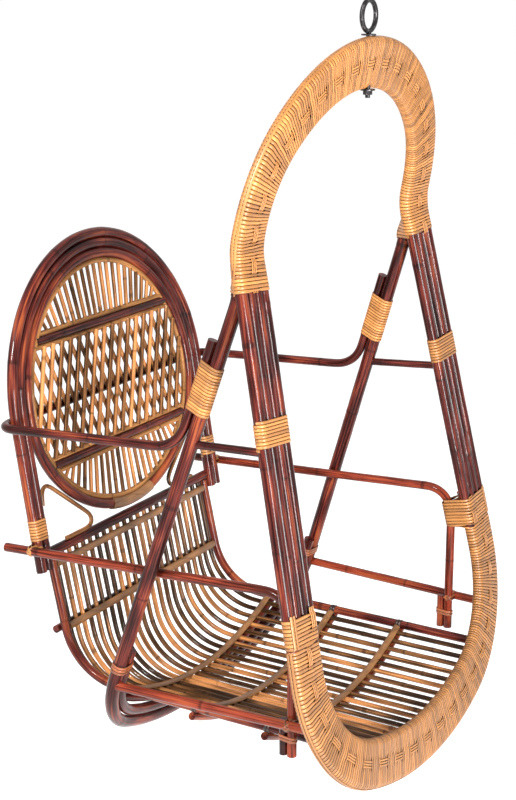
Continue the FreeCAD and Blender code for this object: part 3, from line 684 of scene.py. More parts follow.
# Inputs of the trees; those without a value here are set for every piece
CANE_SOCKETS = (
    ("Step", "Float", None), ("Sides", "Int", None), ("Joint Spacing", "Float", None),
    ("Joint Length", "Float", None), ("Joint Swell", "Float", None), ("Waist", "Float", None),
    ("Unevenness", "Float", None), ("Wobble", "Float", None), ("Shade", "Float", 0.5),
    ("Variety", "Float", 1.0), ("Seed", "Int", None), ("Material", "Material", None))
WRAP_SOCKETS = (
    ("Section", "Object", None), ("Far Section", "Object", None), ("Facing", "Vector", None),
    ("Blend From", "Float", 9.0), ("Blend To", "Float", 9.5), ("Pitch", "Float", None),
    ("Width", "Float", None), ("Rise", "Float", None), ("Base", "Float", None), ("Samples", "Int", 44),
    ("Over", "Int", 5), ("Under", "Int", 4), ("Lift", "Float", None), ("Zone", "Float", 0.006),
    ("Front", "Float", 0.25), ("Back", "Float", 0.75), ("Squeeze", "Float", 0.0), ("Lanes", "Int", 3),
    ("Lane Pitch", "Float", 0.0042), ("Shade", "Float", 0.5), ("Variety", "Float", 1.0),
    ("Seed", "Int", None), ("Material", "Material", None))


def cane_tree():
    """Canes along curves: slightly uneven rods with a swollen ring at each joint of the stem."""
    tree, given, result = new_tree("Cane", CANE_SOCKETS)
    rods = add(tree, "GeometryNodeResampleCurve", {"Curve": given["Geometry"], "Length": given["Step"]},
               mode="LENGTH")
    tone = shade_of(given, add(tree, "GeometryNodeCurveOfPoint"))
    spline = add(tree, "GeometryNodeSplineParameter")
    along = tone * tone_shift + spline["Length"]
    phase = along / given["Joint Spacing"]
    phase = calc("SINE", phase * joint_swing_pace) * joint_swing_share + phase
    away = abs(calc("FRACT", phase) - half) * given["Joint Spacing"]
    joint = smooth_step(away, 0.0, given["Joint Length"], 1.0, 0.0)
    drift = vector_calc("ADD", add(tree, "GeometryNodeInputPosition"), join(along, tone, tone))
    noise = add(tree, "ShaderNodeTexNoise", {"Vector": drift, **stray_noise})
    waist = moved(given["Waist"], noise["Fac"], given["Unevenness"])
    radius = add(tree, "GeometryNodeInputRadius") * (joint * given["Joint Swell"] + waist)
    ends = spline["Factor"] * (1.0 - spline["Factor"])
    loose = smooth_step(ends, 0.0, still_end_share) * given["Wobble"]
    sway = vector_calc("SUBTRACT", noise["Color"], (half, half, half))
    sway = vector_calc("SCALE", vector_calc("SCALE", sway, loose), stray_gain)
    for name, value in (("along", along), ("tone", tone), ("joint", joint), ("thick", radius)):
        rods = stored(rods, name, value)
    rods = add(tree, "GeometryNodeSetPosition", {"Geometry": rods, "Offset": sway})
    ring = rim_ring(tree, given["Sides"])
    mesh = add(tree, "GeometryNodeCurveToMesh", {"Curve": rods, "Profile Curve": ring,
                                                "Scale": named(tree, "thick"), "Fill Caps": True})
    rim = vector_calc("SCALE", named(tree, "rim", "FLOAT_VECTOR"), named(tree, "thick"))
    rim_x, rim_y, _ = split(rim)
    mesh = stored(mesh, "grain", join(named(tree, "along"), rim_x, rim_y), "FLOAT_VECTOR")
    close_tree(mesh, given["Material"], result)
    return tree


def rim_ring(tree, facets):
    """A round profile whose points know their place on it."""
    ring = add(tree, "GeometryNodeCurvePrimitiveCircle", {"Resolution": facets, "Radius": 1.0})
    return stored(ring, "rim", add(tree, "GeometryNodeInputPosition"), "FLOAT_VECTOR")


def curve_length(curve):
    return add(curve.tree, "GeometryNodeCurveLength", {"Curve": curve})


def section_shape(given, label):
    return add(given.tree, "GeometryNodeObjectInfo", {"Object": given[label]}, "Geometry")


def sampled(curve, mode, place):
    """A curve's position and tangent at a share or at a length of it."""
    inputs = {"Curves": curve, mode.title(): place}
    found = add(curve.tree, "GeometryNodeSampleCurve", inputs, mode=mode, use_all_curves=True)
    return found["Position"], found["Tangent"]


def laid(given, along, part, height):
    """Where a point lies on the wrapped bundle: along the spine, round the outline, above the skin."""
    part = part % 1.0
    outlines = [sampled(section_shape(given, label), "FACTOR", part) for label in ("Section", "Far Section")]
    from_end = calc("MINIMUM", along, curve_length(given["Geometry"]) - along)
    blend = smooth_step(from_end, given["Blend From"], given["Blend To"])
    mixed = []
    for near, far in zip(*outlines):
        gap = vector_calc("SUBTRACT", far, near)
        mixed.append(vector_calc("ADD", near, vector_calc("SCALE", gap, blend)))
    tangent_x, tangent_y, _ = split(mixed[1])
    outward = vector_calc("NORMALIZE", join(tangent_y, tangent_x * -1.0, 0.0))
    wide, deep, _ = split(vector_calc("ADD", mixed[0], vector_calc("SCALE", outward, height)))
    place, tangent = sampled(given["Geometry"], "LENGTH", along)
    across = vector_calc("NORMALIZE", vector_calc("CROSS_PRODUCT", tangent, given["Facing"]))
    facing = vector_calc("SCALE", vector_calc("CROSS_PRODUCT", across, tangent), deep)
    across = vector_calc("SCALE", across, wide)
    return vector_calc("ADD", place, vector_calc("ADD", across, facing))


def strip_mesh(tree, end, count, label):
    """A strip from the origin to end, whose points know their place in X under a label."""
    line = add(tree, "GeometryNodeCurvePrimitiveLine", {"Start": (0.0, 0.0, 0.0), "End": end})
    line = add(tree, "GeometryNodeResampleCurve", {"Curve": line, "Count": count}, mode="COUNT")
    line = stored(line, label, split(add(tree, "GeometryNodeInputPosition"))[0])
    ring = rim_ring(tree, strip_facets)
    return add(tree, "GeometryNodeCurveToMesh", {"Curve": line, "Profile Curve": ring, "Fill Caps": True})


def crowned(given, top):
    """Height of a strip's surface above its own middle, flatter below than above."""
    return (calc("MAXIMUM", top, 0.0) + calc("MINIMUM", top, 0.0) * under_share) * given["Rise"]


def close_strips(given, mesh, place, tone, side, grain, result):
    """Puts strips in their place and gives them what their finish reads."""
    mesh = stored(mesh, "tone", tone)
    mesh = stored(mesh, "edge", abs(side))
    mesh = stored(mesh, "grain", grain, "FLOAT_VECTOR")
    mesh = add(mesh.tree, "GeometryNodeSetPosition", {"Geometry": mesh, "Position": place})
    close_tree(mesh, given["Material"], result)


def wrap_tree():
    """One strip of peel wound round a bundle, passing over and under the lengthwise runners."""
    tree, given, result = new_tree("Peel wrap", WRAP_SOCKETS)
    whole = curve_length(section_shape(given, "Section"))
    half_width = given["Width"] * half
    turns = calc("FLOOR", (curve_length(given["Geometry"]) - given["Width"]) / given["Pitch"])
    mesh = strip_mesh(tree, join(turns), turns * given["Samples"] + 1.0, "turn")
    turn = named(tree, "turn")
    side, top, _ = split(named(tree, "rim", "FLOAT_VECTOR"))
    number = calc("FLOOR", turn + turn_slack)
    part = calc("MAXIMUM", turn - number, 0.0)
    period = given["Over"] + given["Under"]
    phase = number % period
    near = calc("MINIMUM", abs(part - given["Front"]), abs(part - given["Back"])) * whole
    zone = smooth_step(near, given["Zone"], given["Zone"] + lift_fade, 1.0, 0.0)
    lift = zone * (phase < given["Over"]) * given["Lift"]
    beside = abs(phase - (given["Over"] - half)) < beside_turns
    for change in (phase < half, phase > period - last_turns):
        beside = calc("MAXIMUM", beside, change)
    pinch = smooth_step(near, given["Zone"], given["Zone"] + pinch_fade, 1.0, 0.0)
    pinch = pinch * beside * given["Squeeze"]
    tone = shade_of(given, number)
    spread = chance(number, given["Seed"] + spread_seed, *spread_shares)
    width = given["Width"] * spread * (1.0 - pinch)
    along = side * half * width + (turn * given["Pitch"] + half_width)
    place = laid(given, along, part, crowned(given, top) + lift + given["Base"])
    grain = join(turn * whole, side * half_width, tone)
    close_strips(given, mesh, place, tone, side, grain, result)
    return tree


def runner_tree():
    """Lengthwise strips of peel that show in the middle of both faces between groups of turns."""
    tree, given, result = new_tree("Peel runner", WRAP_SOCKETS)
    whole = curve_length(section_shape(given, "Section"))
    total = curve_length(given["Geometry"])
    strip = strip_mesh(tree, (1.0, 0.0, 0.0), total / runner_step, "part")
    starts = add(tree, "GeometryNodeMeshLine", {"Count": given["Lanes"] * 2.0, "Offset": (0.0, 0.0, 0.0)})
    starts = stored(starts, "lane", add(tree, "GeometryNodeInputIndex"))
    mesh = add(tree, "GeometryNodeInstanceOnPoints", {"Points": starts, "Instance": strip})
    mesh = add(tree, "GeometryNodeRealizeInstances", {"Geometry": mesh})
    lane = named(tree, "lane")
    side, top, _ = split(named(tree, "rim", "FLOAT_VECTOR"))
    behind = lane > given["Lanes"] - half
    middle = (given["Lanes"] - 1.0) * half
    beside = side * runner_width_share * given["Lane Pitch"]
    offset = (lane % given["Lanes"] - middle) * given["Lane Pitch"] + beside
    part = behind * (given["Back"] - given["Front"]) + given["Front"] + offset / whole
    along = named(tree, "part") * total
    turn = (along - given["Width"] * half) / given["Pitch"] - part
    period = given["Over"] + given["Under"]
    phase = (turn + half) % period
    rise = smooth_step(phase, given["Over"] - rise_turns, given["Over"] + rise_turns)
    fall = smooth_step(phase, period - fall_turns, period, 1.0, 0.0)
    lift = (given["Lift"] + given["Rise"]) * (rise * fall)
    place = laid(given, along, part, crowned(given, top) * runner_crown_share + lift)
    tone = shade_of(given, lane)
    grain = join(along, side * runner_grain, tone)
    close_strips(given, mesh, place, tone, side, grain, result)
    return tree


# Finishes

def shade(value, stops):
    """A colour ramp with (place, colour) stops."""
    ramp = add(value.tree, "ShaderNodeValToRGB", {0: value})
    elements = ramp.socket.node.color_ramp.elements
    while len(elements) < len(stops):
        elements.new(half)
    for element, (place, tint) in zip(elements, stops):
        element.position = place
        element.color = (*tint, 1.0)
    return ramp


def noise_of(vector, scales, detail, roughness=0.5):
    stretched = vector_calc("MULTIPLY", vector, scales)
    return add(vector.tree, "ShaderNodeTexNoise",
               {"Vector": stretched, "Scale": 1.0, "Detail": detail, "Roughness": roughness})


def blended(factor, first, second, kind="MIX"):
    """One colour mixed into another, each a node's output or a plain colour."""
    node = factor.tree.nodes.new("ShaderNodeMix")
    node.data_type = "RGBA"
    node.blend_type = kind
    sockets = {socket.identifier: socket for socket in node.inputs}
    first, second = ((*tint, 1.0) if isinstance(tint, tuple) else tint for tint in (first, second))
    feed(sockets, {"Factor_Float": factor, "A_Color": first, "B_Color": second})
    return Value(next(socket for socket in node.outputs if socket.identifier == "Result_Color"))


def tinted(base, factors):
    """Darker and lighter shades of a colour."""
    return [tuple(min(1.0, part * factor) for part in base) for factor in factors]


def new_material(name):
    material = bpy.data.materials.new(name)
    material.use_nodes = True
    tree = material.node_tree
    return material, tree, tree.nodes["Principled BSDF"].inputs


def attribute(tree, name, out="Fac"):
    return add(tree, "ShaderNodeAttribute", out=out, attribute_name=name)


def own_place(tree):
    return add(tree, "ShaderNodeTexCoord", out="Object")


def relief(height, distance, force):
    return add(height.tree, "ShaderNodeBump", {"Height": height, "Distance": distance, "Strength": force})


def cane_finish(name, colours, coat, rough, variety):
    """Lacquered cane: streaks along the stem, blotches of stain and darker rings at the joints."""
    material, tree, shader = new_material(name)
    grain = attribute(tree, "grain", "Vector")
    joint = attribute(tree, "joint")
    streak = noise_of(grain, *cane_streaks)
    value = moved(half, attribute(tree, "tone"), variety)
    value = moved(value, streak, cane_streak_share)
    value = moved(value, noise_of(grain, *cane_blotches), cane_blotch_share)
    tint = shade(value, tuple(zip(cane_stops, colours)))
    ring_dark, pore_dark = tinted(colours[0], (ring_dark_share, pore_dark_share))
    tint = blended(smooth_step(joint, *cane_ring_steps), tint, ring_dark)
    tint = blended(smooth_step(noise_of(grain, *cane_pores), *cane_pore_steps), tint, pore_dark)
    roughs = [rough + spread for spread in cane_rough_spread]
    ridge = joint * joint_ridge_share + streak
    feed(shader, {
        "Base Color": tint, "Roughness": smooth_step(streak, *cane_rough_steps, *roughs),
        "Normal": relief(ridge, *cane_relief), "Coat Weight": coat, **cane_gloss})
    return material


def peel_finish(name, dark, middle, light, rough):
    """Split peel: fine fibres along each strip, painted shade at each strip's edges, painted shade towards
    the bottom and a shade of its own for each turn.
    """
    material, tree, shader = new_material(name)
    grain = attribute(tree, "grain", "Vector")
    fibre = noise_of(grain, *peel_fibres)
    value = moved(half, attribute(tree, "tone"), peel_tone_share)
    value = moved(value, fibre, peel_fibre_share)
    value = moved(value, noise_of(grain, *peel_patches), peel_patch_share)
    tint = shade(value, tuple(zip(peel_stops, (dark, middle, light))))
    # Painted shade: each strip darkens towards its edges, standing in for the shade in the gaps between
    # strips
    edge = smooth_step(attribute(tree, "edge"), *peel_edge_painted_shade_steps)
    tint = blended(edge, tint, *tinted(dark, [edge_painted_shade_share]))
    # Painted shade: the peel darkens and turns cooler towards the bottom, standing in for the weaker light
    # there
    low = smooth_step(split(own_place(tree))[2], *peel_low_painted_shade_steps)
    tint = blended(low, tint, peel_low_painted_shade_tint, "MULTIPLY")
    roughs = [rough + spread for spread in peel_rough_spread]
    feed(shader, {
        "Base Color": tint, "Roughness": smooth_step(fibre, *peel_rough_steps, *roughs),
        "Normal": relief(fibre, *peel_relief), **peel_gloss})
    return material


def lath_finish(name, dark, middle, light):
    """Split cane that lies across the chair: grain and joints follow its length in X."""
    material, tree, shader = new_material(name)
    place = own_place(tree)
    streak = noise_of(place, *lath_streaks)
    value = moved(half, streak, lath_streak_share)
    value = moved(value, noise_of(place, *lath_blotches), lath_blotch_share)
    tint = shade(value, tuple(zip(lath_stops, (dark, middle, light))))
    along, deep, high = split(place)
    for part, gain in zip((high, deep), lath_joint_shifts):
        along = part * gain + along
    away = abs(calc("FRACT", along / lath_joint_spacing) - half)
    tint = blended(smooth_step(away, *lath_ring_steps), tint, *tinted(dark, [lath_dark_share]))
    feed(shader, {
        "Base Color": tint, "Roughness": smooth_step(streak, *lath_rough_steps),
        "Normal": relief(streak, *lath_relief), **lath_gloss})
    return material


def iron_finish(name, dark, worn):
    """Black iron: hammered skin, dull crust and a few rubbed patches."""
    material, tree, shader = new_material(name)
    place = own_place(tree)
    dent = noise_of(place, *iron_dents)
    crust = noise_of(place, *iron_crust)
    rubbed = smooth_step(crust * iron_rub_share + dent, *iron_rub_steps)
    feed(shader, {
        "Base Color": blended(rubbed, dark, worn), "Roughness": smooth_step(crust, *iron_rough_steps),
        "Normal": relief(crust * iron_relief_share + dent, *iron_relief), **iron_gloss})
    return material


def new_finish(slot):
    """A new material for one slot of the record, from the panel's colours."""
    chair = bpy.context.scene.cane_chair
    if slot in CANE_LOOKS:
        # A stain of three shades takes the colour of the streaks as its lightest
        name, base, shades, *surface_values = CANE_LOOKS[slot]
        stain = [*tinted(getattr(chair, base), shades), tuple(chair.streak)]
        return cane_finish(name, stain[:len(cane_stops)], *surface_values)
    if slot in PEEL_LOOKS:
        name, base, shades, rough = PEEL_LOOKS[slot]
        return peel_finish(name, *tinted(getattr(chair, base), shades), rough)
    if slot == "lath":
        return lath_finish("natural lath", *tinted(chair.natural, lath_shades))
    if slot == "black_iron":
        return iron_finish("black iron", *tinted(chair.iron, iron_shades))
    raise KeyError(slot)


made_once = {}


def shared(kind, build, *values):
    """A tree or material that is made once."""
    if kind not in made_once:
        made_once[kind] = build(*values)
    return made_once[kind]


def finish_material(slot):
    return shared(slot, new_finish, slot)


def refinish(nodes, slot):
    """A CAD node that keeps its shape gets its finish."""
    for node in nodes:
        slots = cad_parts[node].data.materials
        slots.clear()
        slots.append(finish_material(slot))


# Pieces

def curve_object(name, lines, radii, cyclic=False):
    data = bpy.data.curves.new(name, "CURVE")
    data.dimensions = "3D"
    for line, radius in zip(lines, radii):
        spline = data.splines.new("POLY")
        spline.points.add(len(line) - 1)
        places = np.column_stack([line, np.ones(len(line))]).astype(np.float32)
        spline.points.foreach_set("co", places.ravel())
        spline.points.foreach_set("radius", np.full(len(line), radius, np.float32))
        spline.use_cyclic_u = cyclic
    holder = bpy.data.objects.new(name, data)
    bpy.context.scene.collection.objects.link(holder)
    return holder


def outline(circles):
    """A closed curve drawn taut round circles."""
    shape = outline_shape(circles)
    return curve_object("outline", [np.column_stack([shape, np.zeros(len(shape))])], [1.0], cyclic=True)


def removed(holder):
    """Takes a curve object and its data away."""
    data = holder.data
    bpy.data.objects.remove(holder)
    bpy.data.curves.remove(data)


def signed_volume(mesh):
    """A mesh's volume times six, below zero where it is inside out."""
    mesh.calc_loop_triangles()
    points = read(mesh.vertices, "co", 3)
    corners = read(mesh.loop_triangles, "vertices", 3, np.int32)
    first, second, third = points[corners].transpose(1, 0, 2)
    return float((first * np.cross(second, third)).sum())


def grown(holder, tree, values):
    """The tree's result on a curve as a plain mesh that faces outwards; the curve goes."""
    modifier = holder.modifiers.new("grow", "NODES")
    modifier.node_group = tree
    for item in tree.interface.items_tree:
        if item.in_out == "INPUT" and item.name in values:
            modifier[item.identifier] = values[item.name]
    depsgraph = bpy.context.evaluated_depsgraph_get()
    mesh = bpy.data.meshes.new_from_object(holder.evaluated_get(depsgraph), preserve_all_data_layers=True,
                                           depsgraph=depsgraph)
    removed(holder)
    if not mesh.polygons:
        raise RuntimeError("a tree gave no faces")
    if signed_volume(mesh) < 0:
        mesh.flip_normals()
    return mesh


def piece(name, mesh, finish, nodes=()):
    """A finished piece that rides on the chair and stands for CAD nodes."""
    made = bpy.data.objects.new(name, mesh)
    mesh.name = name
    bpy.context.scene.collection.objects.link(made)
    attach(made, "chair")
    if nodes:
        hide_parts(*nodes)


def pairs(name):
    return [f"{name}_{side}" for side in SIDES]


def seed_of(name):
    return sum(map(ord, name))


def cane_piece(name, nodes, finish, sizes=(), straight=False, hidden=0.0):
    """Canes in place of CAD nodes, less a length at each end that peel hides."""
    rods = canes(nodes, straight)
    if hidden:
        rods = [(shortened(line, hidden), radius) for line, radius in rods]
    chair = bpy.context.scene.cane_chair
    values = {
        "Step": chair.cane_step, "Sides": chair.cane_sides, "Joint Spacing": chair.joint_spacing,
        "Joint Length": chair.joint_length, "Joint Swell": chair.joint_swell, "Waist": 1.0,
        "Unevenness": chair.unevenness, "Wobble": chair.wobble, "Seed": seed_of(name),
        "Material": finish_material(finish)}
    values.update(sizes)
    holder = curve_object(name, *zip(*rods))
    piece(name, grown(holder, shared("cane", cane_tree), values), finish, nodes)


def wrapped(name, line, facing, near, far, finish, sizes=(), nodes=(), layers=("",)):
    """Peel wound along a line round the outline of near circles, which turn into far ones in the middle.

    Each layer becomes a piece: the winding is the one without a name, the others run lengthwise."""
    chair = bpy.context.scene.cane_chair
    sections = [outline(near), outline(far)]
    values = {
        "Section": sections[0], "Far Section": sections[1], "Facing": tuple(facing),
        "Pitch": chair.strip_pitch, "Width": chair.strip_pitch * chair.strip_overlap,
        "Rise": chair.strip_rise, "Seed": seed_of(name), "Material": finish_material(finish), **plain_sizes}
    values.update(sizes)
    for layer in layers:
        if layer == "runners":
            values.update(runner_tones)
        tree = shared("runner", runner_tree) if layer else shared("wrap", wrap_tree)
        mesh = grown(curve_object(name, [line], [1.0]), tree, values)
        piece(f"{name}_{layer}" if layer else name, mesh, finish, () if layer else nodes)
    for section in sections:
        removed(section)


def wound(name, node, rods, finish):
    """Peel wound round the canes that a CAD winding ties, over the same length."""
    points = surface(node)[0]
    centre = (points.min(axis=0) + points.max(axis=0)) / 2
    line = dense(rods[0][0])
    axis = direction(line, inside(line, np.linalg.norm(line - centre, axis=1).argmin()))
    first, last = (crossing(centre, axis, rods[end][0]) for end in (0, -1))
    facing = unit(np.cross(axis, last - first))
    span = (points - centre) @ axis
    ends = [centre + axis * place for place in (span.min() + wound_inset, span.max() - wound_inset)]
    near = circles_at(centre, axis, facing, rods)
    wrapped(name, dense(np.array(ends)), facing, near, near, finish, winding_sizes, [node])


def tied(name, edge, cross, finish, material):
    """A few turns of peel round one cane where another crosses it."""
    line, radius = dense(edge[0]), edge[1]
    gaps = np.linalg.norm(line[:, None] - dense(cross[0])[None], axis=2).min(axis=1)
    here = inside(line, gaps.argmin())
    axis = direction(line, here)
    facing = unit(np.cross(axis, (1.0, 0.0, 0.0)))
    ends = np.array([line[here] - axis * tie_reach, line[here] + axis * tie_reach])
    near = [(0.0, 0.0, radius)]
    wrapped(name, dense(ends), facing, near, near, finish, {"Material": material})


def lashed(name, first, second, finish):
    """Two slanting loops of peel over the place where two canes cross."""
    (line_a, radius_a), (line_b, radius_b) = first, second
    line_a, line_b = dense(line_a), dense(line_b)
    gaps = np.linalg.norm(line_a[:, None] - line_b[None], axis=2)
    at_a, at_b = np.unravel_index(gaps.argmin(), gaps.shape)
    axis_a, axis_b = direction(line_a, at_a), direction(line_b, at_b)
    facing = unit(np.cross(axis_a, axis_b))
    centre = (line_a[at_a] + line_b[at_b]) / 2
    reach = abs((line_a[at_a] - line_b[at_b]) @ facing) / 2
    near = [(0.0, -reach, radius_b), (0.0, reach, radius_a)]
    for number, turn in enumerate((1, -1)):
        along = unit(axis_a + axis_b * turn)
        ends = np.array([centre - along * lashing_reach, centre + along * lashing_reach])
        wrapped(f"{name}_{number + 1}", dense(ends), facing, near, near, finish)


# Steps that build the chair

class FrontHoop(bpy.types.Operator):
    """Builds the four canes of the front hoop"""
    bl_idname = "cane_chair.front_hoop"
    bl_label = "Front hoop"

    def execute(self, context):
        cane_piece("front_hoop", HOOP_CANES, "mahogany_cane", hoop_sizes)
        return {"FINISHED"}


class RearFrame(bpy.types.Operator):
    """Builds the rear hoop with its doubler and the arm cane"""
    bl_idname = "cane_chair.rear_frame"
    bl_label = "Rear hoop and arm"

    def execute(self, context):
        cane_piece("rear_frame", ["rear_hoop"], "mahogany_cane", rear_sizes, hidden=hidden_tail)
        cane_piece("rear_doubler", ["rear_hoop_doubler"], "mahogany_cane", rear_sizes)
        cane_piece("arm", ["arm_loop"], "mahogany_cane")
        return {"FINISHED"}


class SideFrames(bpy.types.Operator):
    """Builds the side rails, stretchers, stubs and braces"""
    bl_idname = "cane_chair.side_frames"
    bl_label = "Side frames"

    def execute(self, context):
        cane_piece("side_rails", pairs("side_rail"), "red_cane", rail_sizes)
        cane_piece("stretchers", pairs("stretcher"), "red_cane", stretcher_sizes, straight=True)
        cane_piece("post_stubs", pairs("post_stub"), "mahogany_cane", straight=True)
        cane_piece("upper_braces", pairs("upper_brace"), "mahogany_cane", straight=True)
        return {"FINISHED"}


class Seat(bpy.types.Operator):
    """Builds the seat's edge canes, slats, cross canes and laths"""
    bl_idname = "cane_chair.seat"
    bl_label = "Seat"

    def execute(self, context):
        cane_piece("seat_edges", pairs("seat_frame"), "mahogany_cane")
        cane_piece("seat_back_rails", ["seat_top_rail", "cross_cane_back"], "mahogany_cane", straight=True)
        cane_piece("cross_canes", [f"cross_cane_{number}" for number in (1, 2, 3)], "mahogany_cane")
        cane_piece("slats", ["seat_slats"], "slat_cane", slat_sizes)
        refinish([f"seat_lath_{place}" for place in (1, 2, 3, "back", "top")], "lath")
        return {"FINISHED"}


class Back(bpy.types.Operator):
    """Builds the back: stiles, ovals, bars, fans, lattice and scrolls"""
    bl_idname = "cane_chair.back"
    bl_label = "Back"

    def execute(self, context):
        cane_piece("back_stiles", ["back_stile_outer", "back_stile_inner"], "mahogany_cane", stile_sizes)
        cane_piece("back_oval_cane", ["back_oval"], "mahogany_cane", back_sizes)
        cane_piece("back_oval_trim", ["back_oval_inner"], "natural_cane", back_sizes)
        for name, start, ends, finish, sizes in (
                ("back_bars", "back_bar", ("upper", "lower"), "mahogany_cane", back_sizes),
                ("back_bar_trims", "back_bar_trim", ("upper", "lower"), "natural_cane", back_sizes),
                ("fan_spokes", "spokes", ("upper", "lower"), "fan_cane", spoke_sizes),
                ("lattice_canes", "lattice", ("front", "rear"), "fan_cane", lattice_sizes)):
            cane_piece(name, [f"{start}_{end}" for end in ends], finish, sizes, straight=True)
        cane_piece("scroll_canes", pairs("scroll"), "slat_cane", scroll_sizes)
        refinish(["oval_splice"], "lath")
        return {"FINISHED"}


class PeelCovers(bpy.types.Operator):
    """Weaves the peel over the arch with its shoulders and over the bottom of the front hoop"""
    bl_idname = "cane_chair.peel_covers"
    bl_label = "Woven covers"

    def execute(self, context):
        band = canes(HOOP_CANES)
        spine = middle_line(band)
        arch = spine[spine[:, 2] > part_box("shoulder_winding_left")[0][2] - shoulder_reach]
        crown = spine[:, 2].argmax()
        around = np.concatenate([spine[crown:], spine[:crown]])
        bottom = around[around[:, 2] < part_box("bottom_cover")[1][2]]
        arch_nodes = ["arch_cover", *pairs("shoulder_winding")]
        for name, line, nodes, beside, depth, sizes in (
                ("arch", arch, arch_nodes, "rear_hoop", 0.0, arch_sizes),
                ("bottom", bottom, ["bottom_cover"], "side_rail_left", post_reach, bottom_sizes)):
            here = len(line) // 2
            axis = unit(line[here + 1] - line[here - 1])
            facing = plane_normal(line)
            far = circles_at(line[here], axis, facing, band)
            end = dense(line, dense_step)[max(1, int(depth / dense_step))]
            axis = unit(line[tangent_points] - line[0])
            leg_facing = unit(facing - axis * (facing @ axis))
            near = circles_at(end, axis, leg_facing, band + canes([beside]))
            wrapped(name + "_weave", line, facing, near, far, "natural_peel", sizes, nodes, ("", "runners"))
            rim = 0.0 if far[-1][0] < 0 else half
            beside_rim = rim_strip / 2 / outline_reach(far)
            rims = {**sizes, **rim_sizes, "Front": rim + beside_rim, "Back": rim - beside_rim}
            wrapped(name + "_rim", line, facing, near, far, "natural_peel", rims, layers=("rim",))
        return {"FINISHED"}


class Windings(bpy.types.Operator):
    """Winds peel round the legs, the struts, the stiles and the feet"""
    bl_idname = "cane_chair.windings"
    bl_label = "Windings and lashings"

    def execute(self, context):
        band = canes(HOOP_CANES)
        struts = canes(["rear_hoop", "arm_loop"])
        stiles = canes(["back_stile_outer", "back_stile_inner"])
        feet = canes(["rear_hoop", "rear_hoop_doubler"])
        for side in SIDES:
            posts = canes(["side_rail_" + side])
            stretchers = canes(["stretcher_" + side], straight=True)
            stubs = canes(["post_stub_" + side], straight=True)
            for kind, rods in (("leg", band), ("strut", struts), ("stile", stiles)):
                wound(f"{kind}_wrap_{side}", f"{kind}_winding_{side}", rods, "natural_peel")
            for kind, rods in (("post", posts + stubs), ("foot", feet)):
                wound(f"{kind}_lashing_{side}", f"{kind}_binding_{side}", rods, "stained_peel")
            lashed("rail_cross_" + side, posts[0], stiles[0], "natural_peel")
            lashed("post_cross_" + side, posts[0], stretchers[0], "stained_peel")
            for number in (1, 2, 3):
                edge, cross = canes(["seat_frame_" + side, f"cross_cane_{number}"])
                tied(f"edge_tie_{number}_{side}", edge, cross, "stained_peel", finish_material("dark_peel"))
        return {"FINISHED"}


class Hanger(bpy.types.Operator):
    """Gives the eye bolt, its washers and its nut their black iron"""
    bl_idname = "cane_chair.hanger"
    bl_label = "Hanging eye"

    def execute(self, context):
        refinish(["hanger_eye", "hanger_washers", "hanger_nut"], "black_iron")
        return {"FINISHED"}


# Stage

def seen_rays(tree):
    """1 for the rays that show the background: from the camera, from gloss and through glass."""
    path = add(tree, "ShaderNodeLightPath")
    seen = calc("MAXIMUM", path["Is Camera Ray"], path["Is Glossy Ray"])
    return calc("MAXIMUM", seen, path["Is Transmission Ray"])


def floor_finish():
    """Matt white floor, brightened for the rays that see it; shadows stay."""
    material, tree, shader = new_material("pale floor")
    specks = noise_of(own_place(tree), *floor_specks)
    feed(shader, {
        "Base Color": shade(specks, floor_tones), "Roughness": floor_rough, "Specular IOR Level": 0.0,
        "Emission Color": white, "Emission Strength": seen_rays(tree) * floor_glow})
    return material


def lay_floor(scene, stage):
    reach = stage.floor_size / 2
    height = cad_box[0][2] - stage.floor_drop
    corners = [(x * reach, y * reach, height) for x, y in ((-1, -1), (1, -1), (1, 1), (-1, 1))]
    mesh = bpy.data.meshes.new("floor")
    mesh.from_pydata(corners, [], [(0, 1, 2, 3)])
    mesh.materials.append(floor_finish())
    floor = bpy.data.objects.new("floor", mesh)
    scene.collection.objects.link(floor)


def white_sky(scene, light):
    """White where it is seen, and a weaker light on the chair."""
    world = bpy.data.worlds.new("studio")
    scene.world = world
    world.use_nodes = True
    tree = world.node_tree
    inputs = {"Value": seen_rays(tree), "To Min": light, "To Max": 1.0}
    background = tree.nodes["Background"].inputs
    feed(background, {"Color": white, "Strength": add(tree, "ShaderNodeMapRange", inputs)})


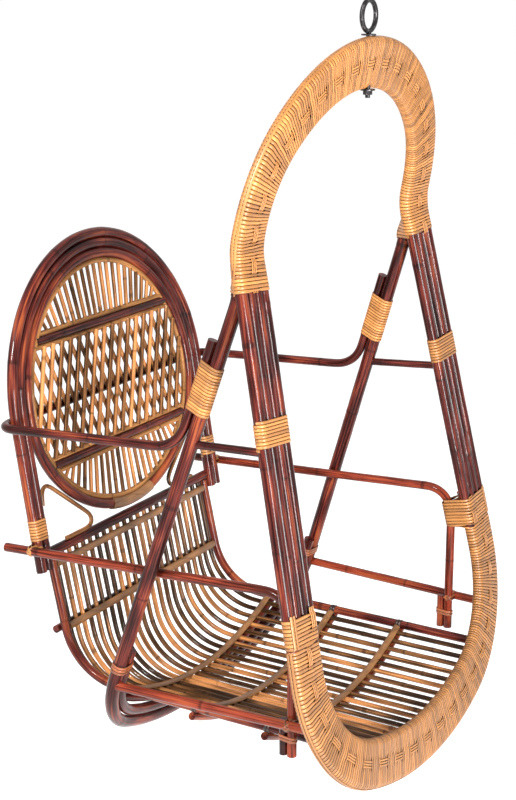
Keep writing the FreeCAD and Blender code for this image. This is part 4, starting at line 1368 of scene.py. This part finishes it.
def hang_lamps(scene, stage):
    """Area lamps that face the middle of the chair."""
    middle = Vector((0.0, 0.0, (cad_box[0][2] + cad_box[1][2]) / 2))
    for name, (place, sizes) in LAMPS.items():
        lamp = bpy.data.lights.new(name, "AREA")
        lamp.shape = "RECTANGLE"
        lamp.size, lamp.size_y = sizes
        lamp.energy = getattr(stage, name)
        holder = bpy.data.objects.new(name, lamp)
        holder.location = place
        holder.rotation_euler = (middle - Vector(place)).to_track_quat("-Z", "Y").to_euler()
        scene.collection.objects.link(holder)


def place_camera(scene):
    lens = bpy.data.cameras.new("camera")
    lens.sensor_fit = "AUTO"
    lens.sensor_width = sensor_width
    lens.lens = camera_lens
    camera = bpy.data.objects.new("camera", lens)
    right, up = Vector(camera_right).normalized(), Vector(camera_up).normalized()
    turn = Matrix((right, up, right.cross(up))).transposed().to_4x4()
    camera.matrix_world = Matrix.Translation(camera_place) @ turn
    scene.collection.objects.link(camera)
    scene.camera = camera


class Stage(bpy.types.Operator):
    """Sets up the floor, the light and the camera"""
    bl_idname = "cane_chair.stage"
    bl_label = "Stage"

    def execute(self, context):
        scene = context.scene
        lay_floor(scene, scene.cane_stage)
        white_sky(scene, scene.cane_stage.sky)
        hang_lamps(scene, scene.cane_stage)
        place_camera(scene)
        scene.view_settings.view_transform = "Standard"
        return {"FINISHED"}


class ChairPanel(bpy.types.Panel):
    """Lists the chair's settings and the steps that build it"""
    bl_idname = "VIEW3D_PT_cane_chair"
    bl_label = "Cane Chair"
    bl_space_type = "VIEW_3D"
    bl_region_type = "UI"
    bl_category = "Cane Chair"

    def draw(self, context):
        for group in (context.scene.cane_chair, context.scene.cane_stage):
            for name in group.__annotations__:
                self.layout.prop(group, name)
        for step in STEPS:
            self.layout.operator(step.bl_idname)


STEPS = (FrontHoop, RearFrame, SideFrames, Seat, Back, PeelCovers, Windings, Hanger, Stage)
CLASSES = (ChairSettings, StageSettings, *STEPS, ChairPanel)


def register():
    for entry in CLASSES:
        bpy.utils.register_class(entry)
    bpy.types.Scene.cane_chair = bpy.props.PointerProperty(type=ChairSettings)
    bpy.types.Scene.cane_stage = bpy.props.PointerProperty(type=StageSettings)


def unregister():
    del bpy.types.Scene.cane_stage
    del bpy.types.Scene.cane_chair
    for entry in reversed(CLASSES):
        bpy.utils.unregister_class(entry)


def main():
    register()
    for step in STEPS:
        group, name = step.bl_idname.split(".")
        getattr(getattr(bpy.ops, group), name)()


if __name__ == "__main__":
    main()
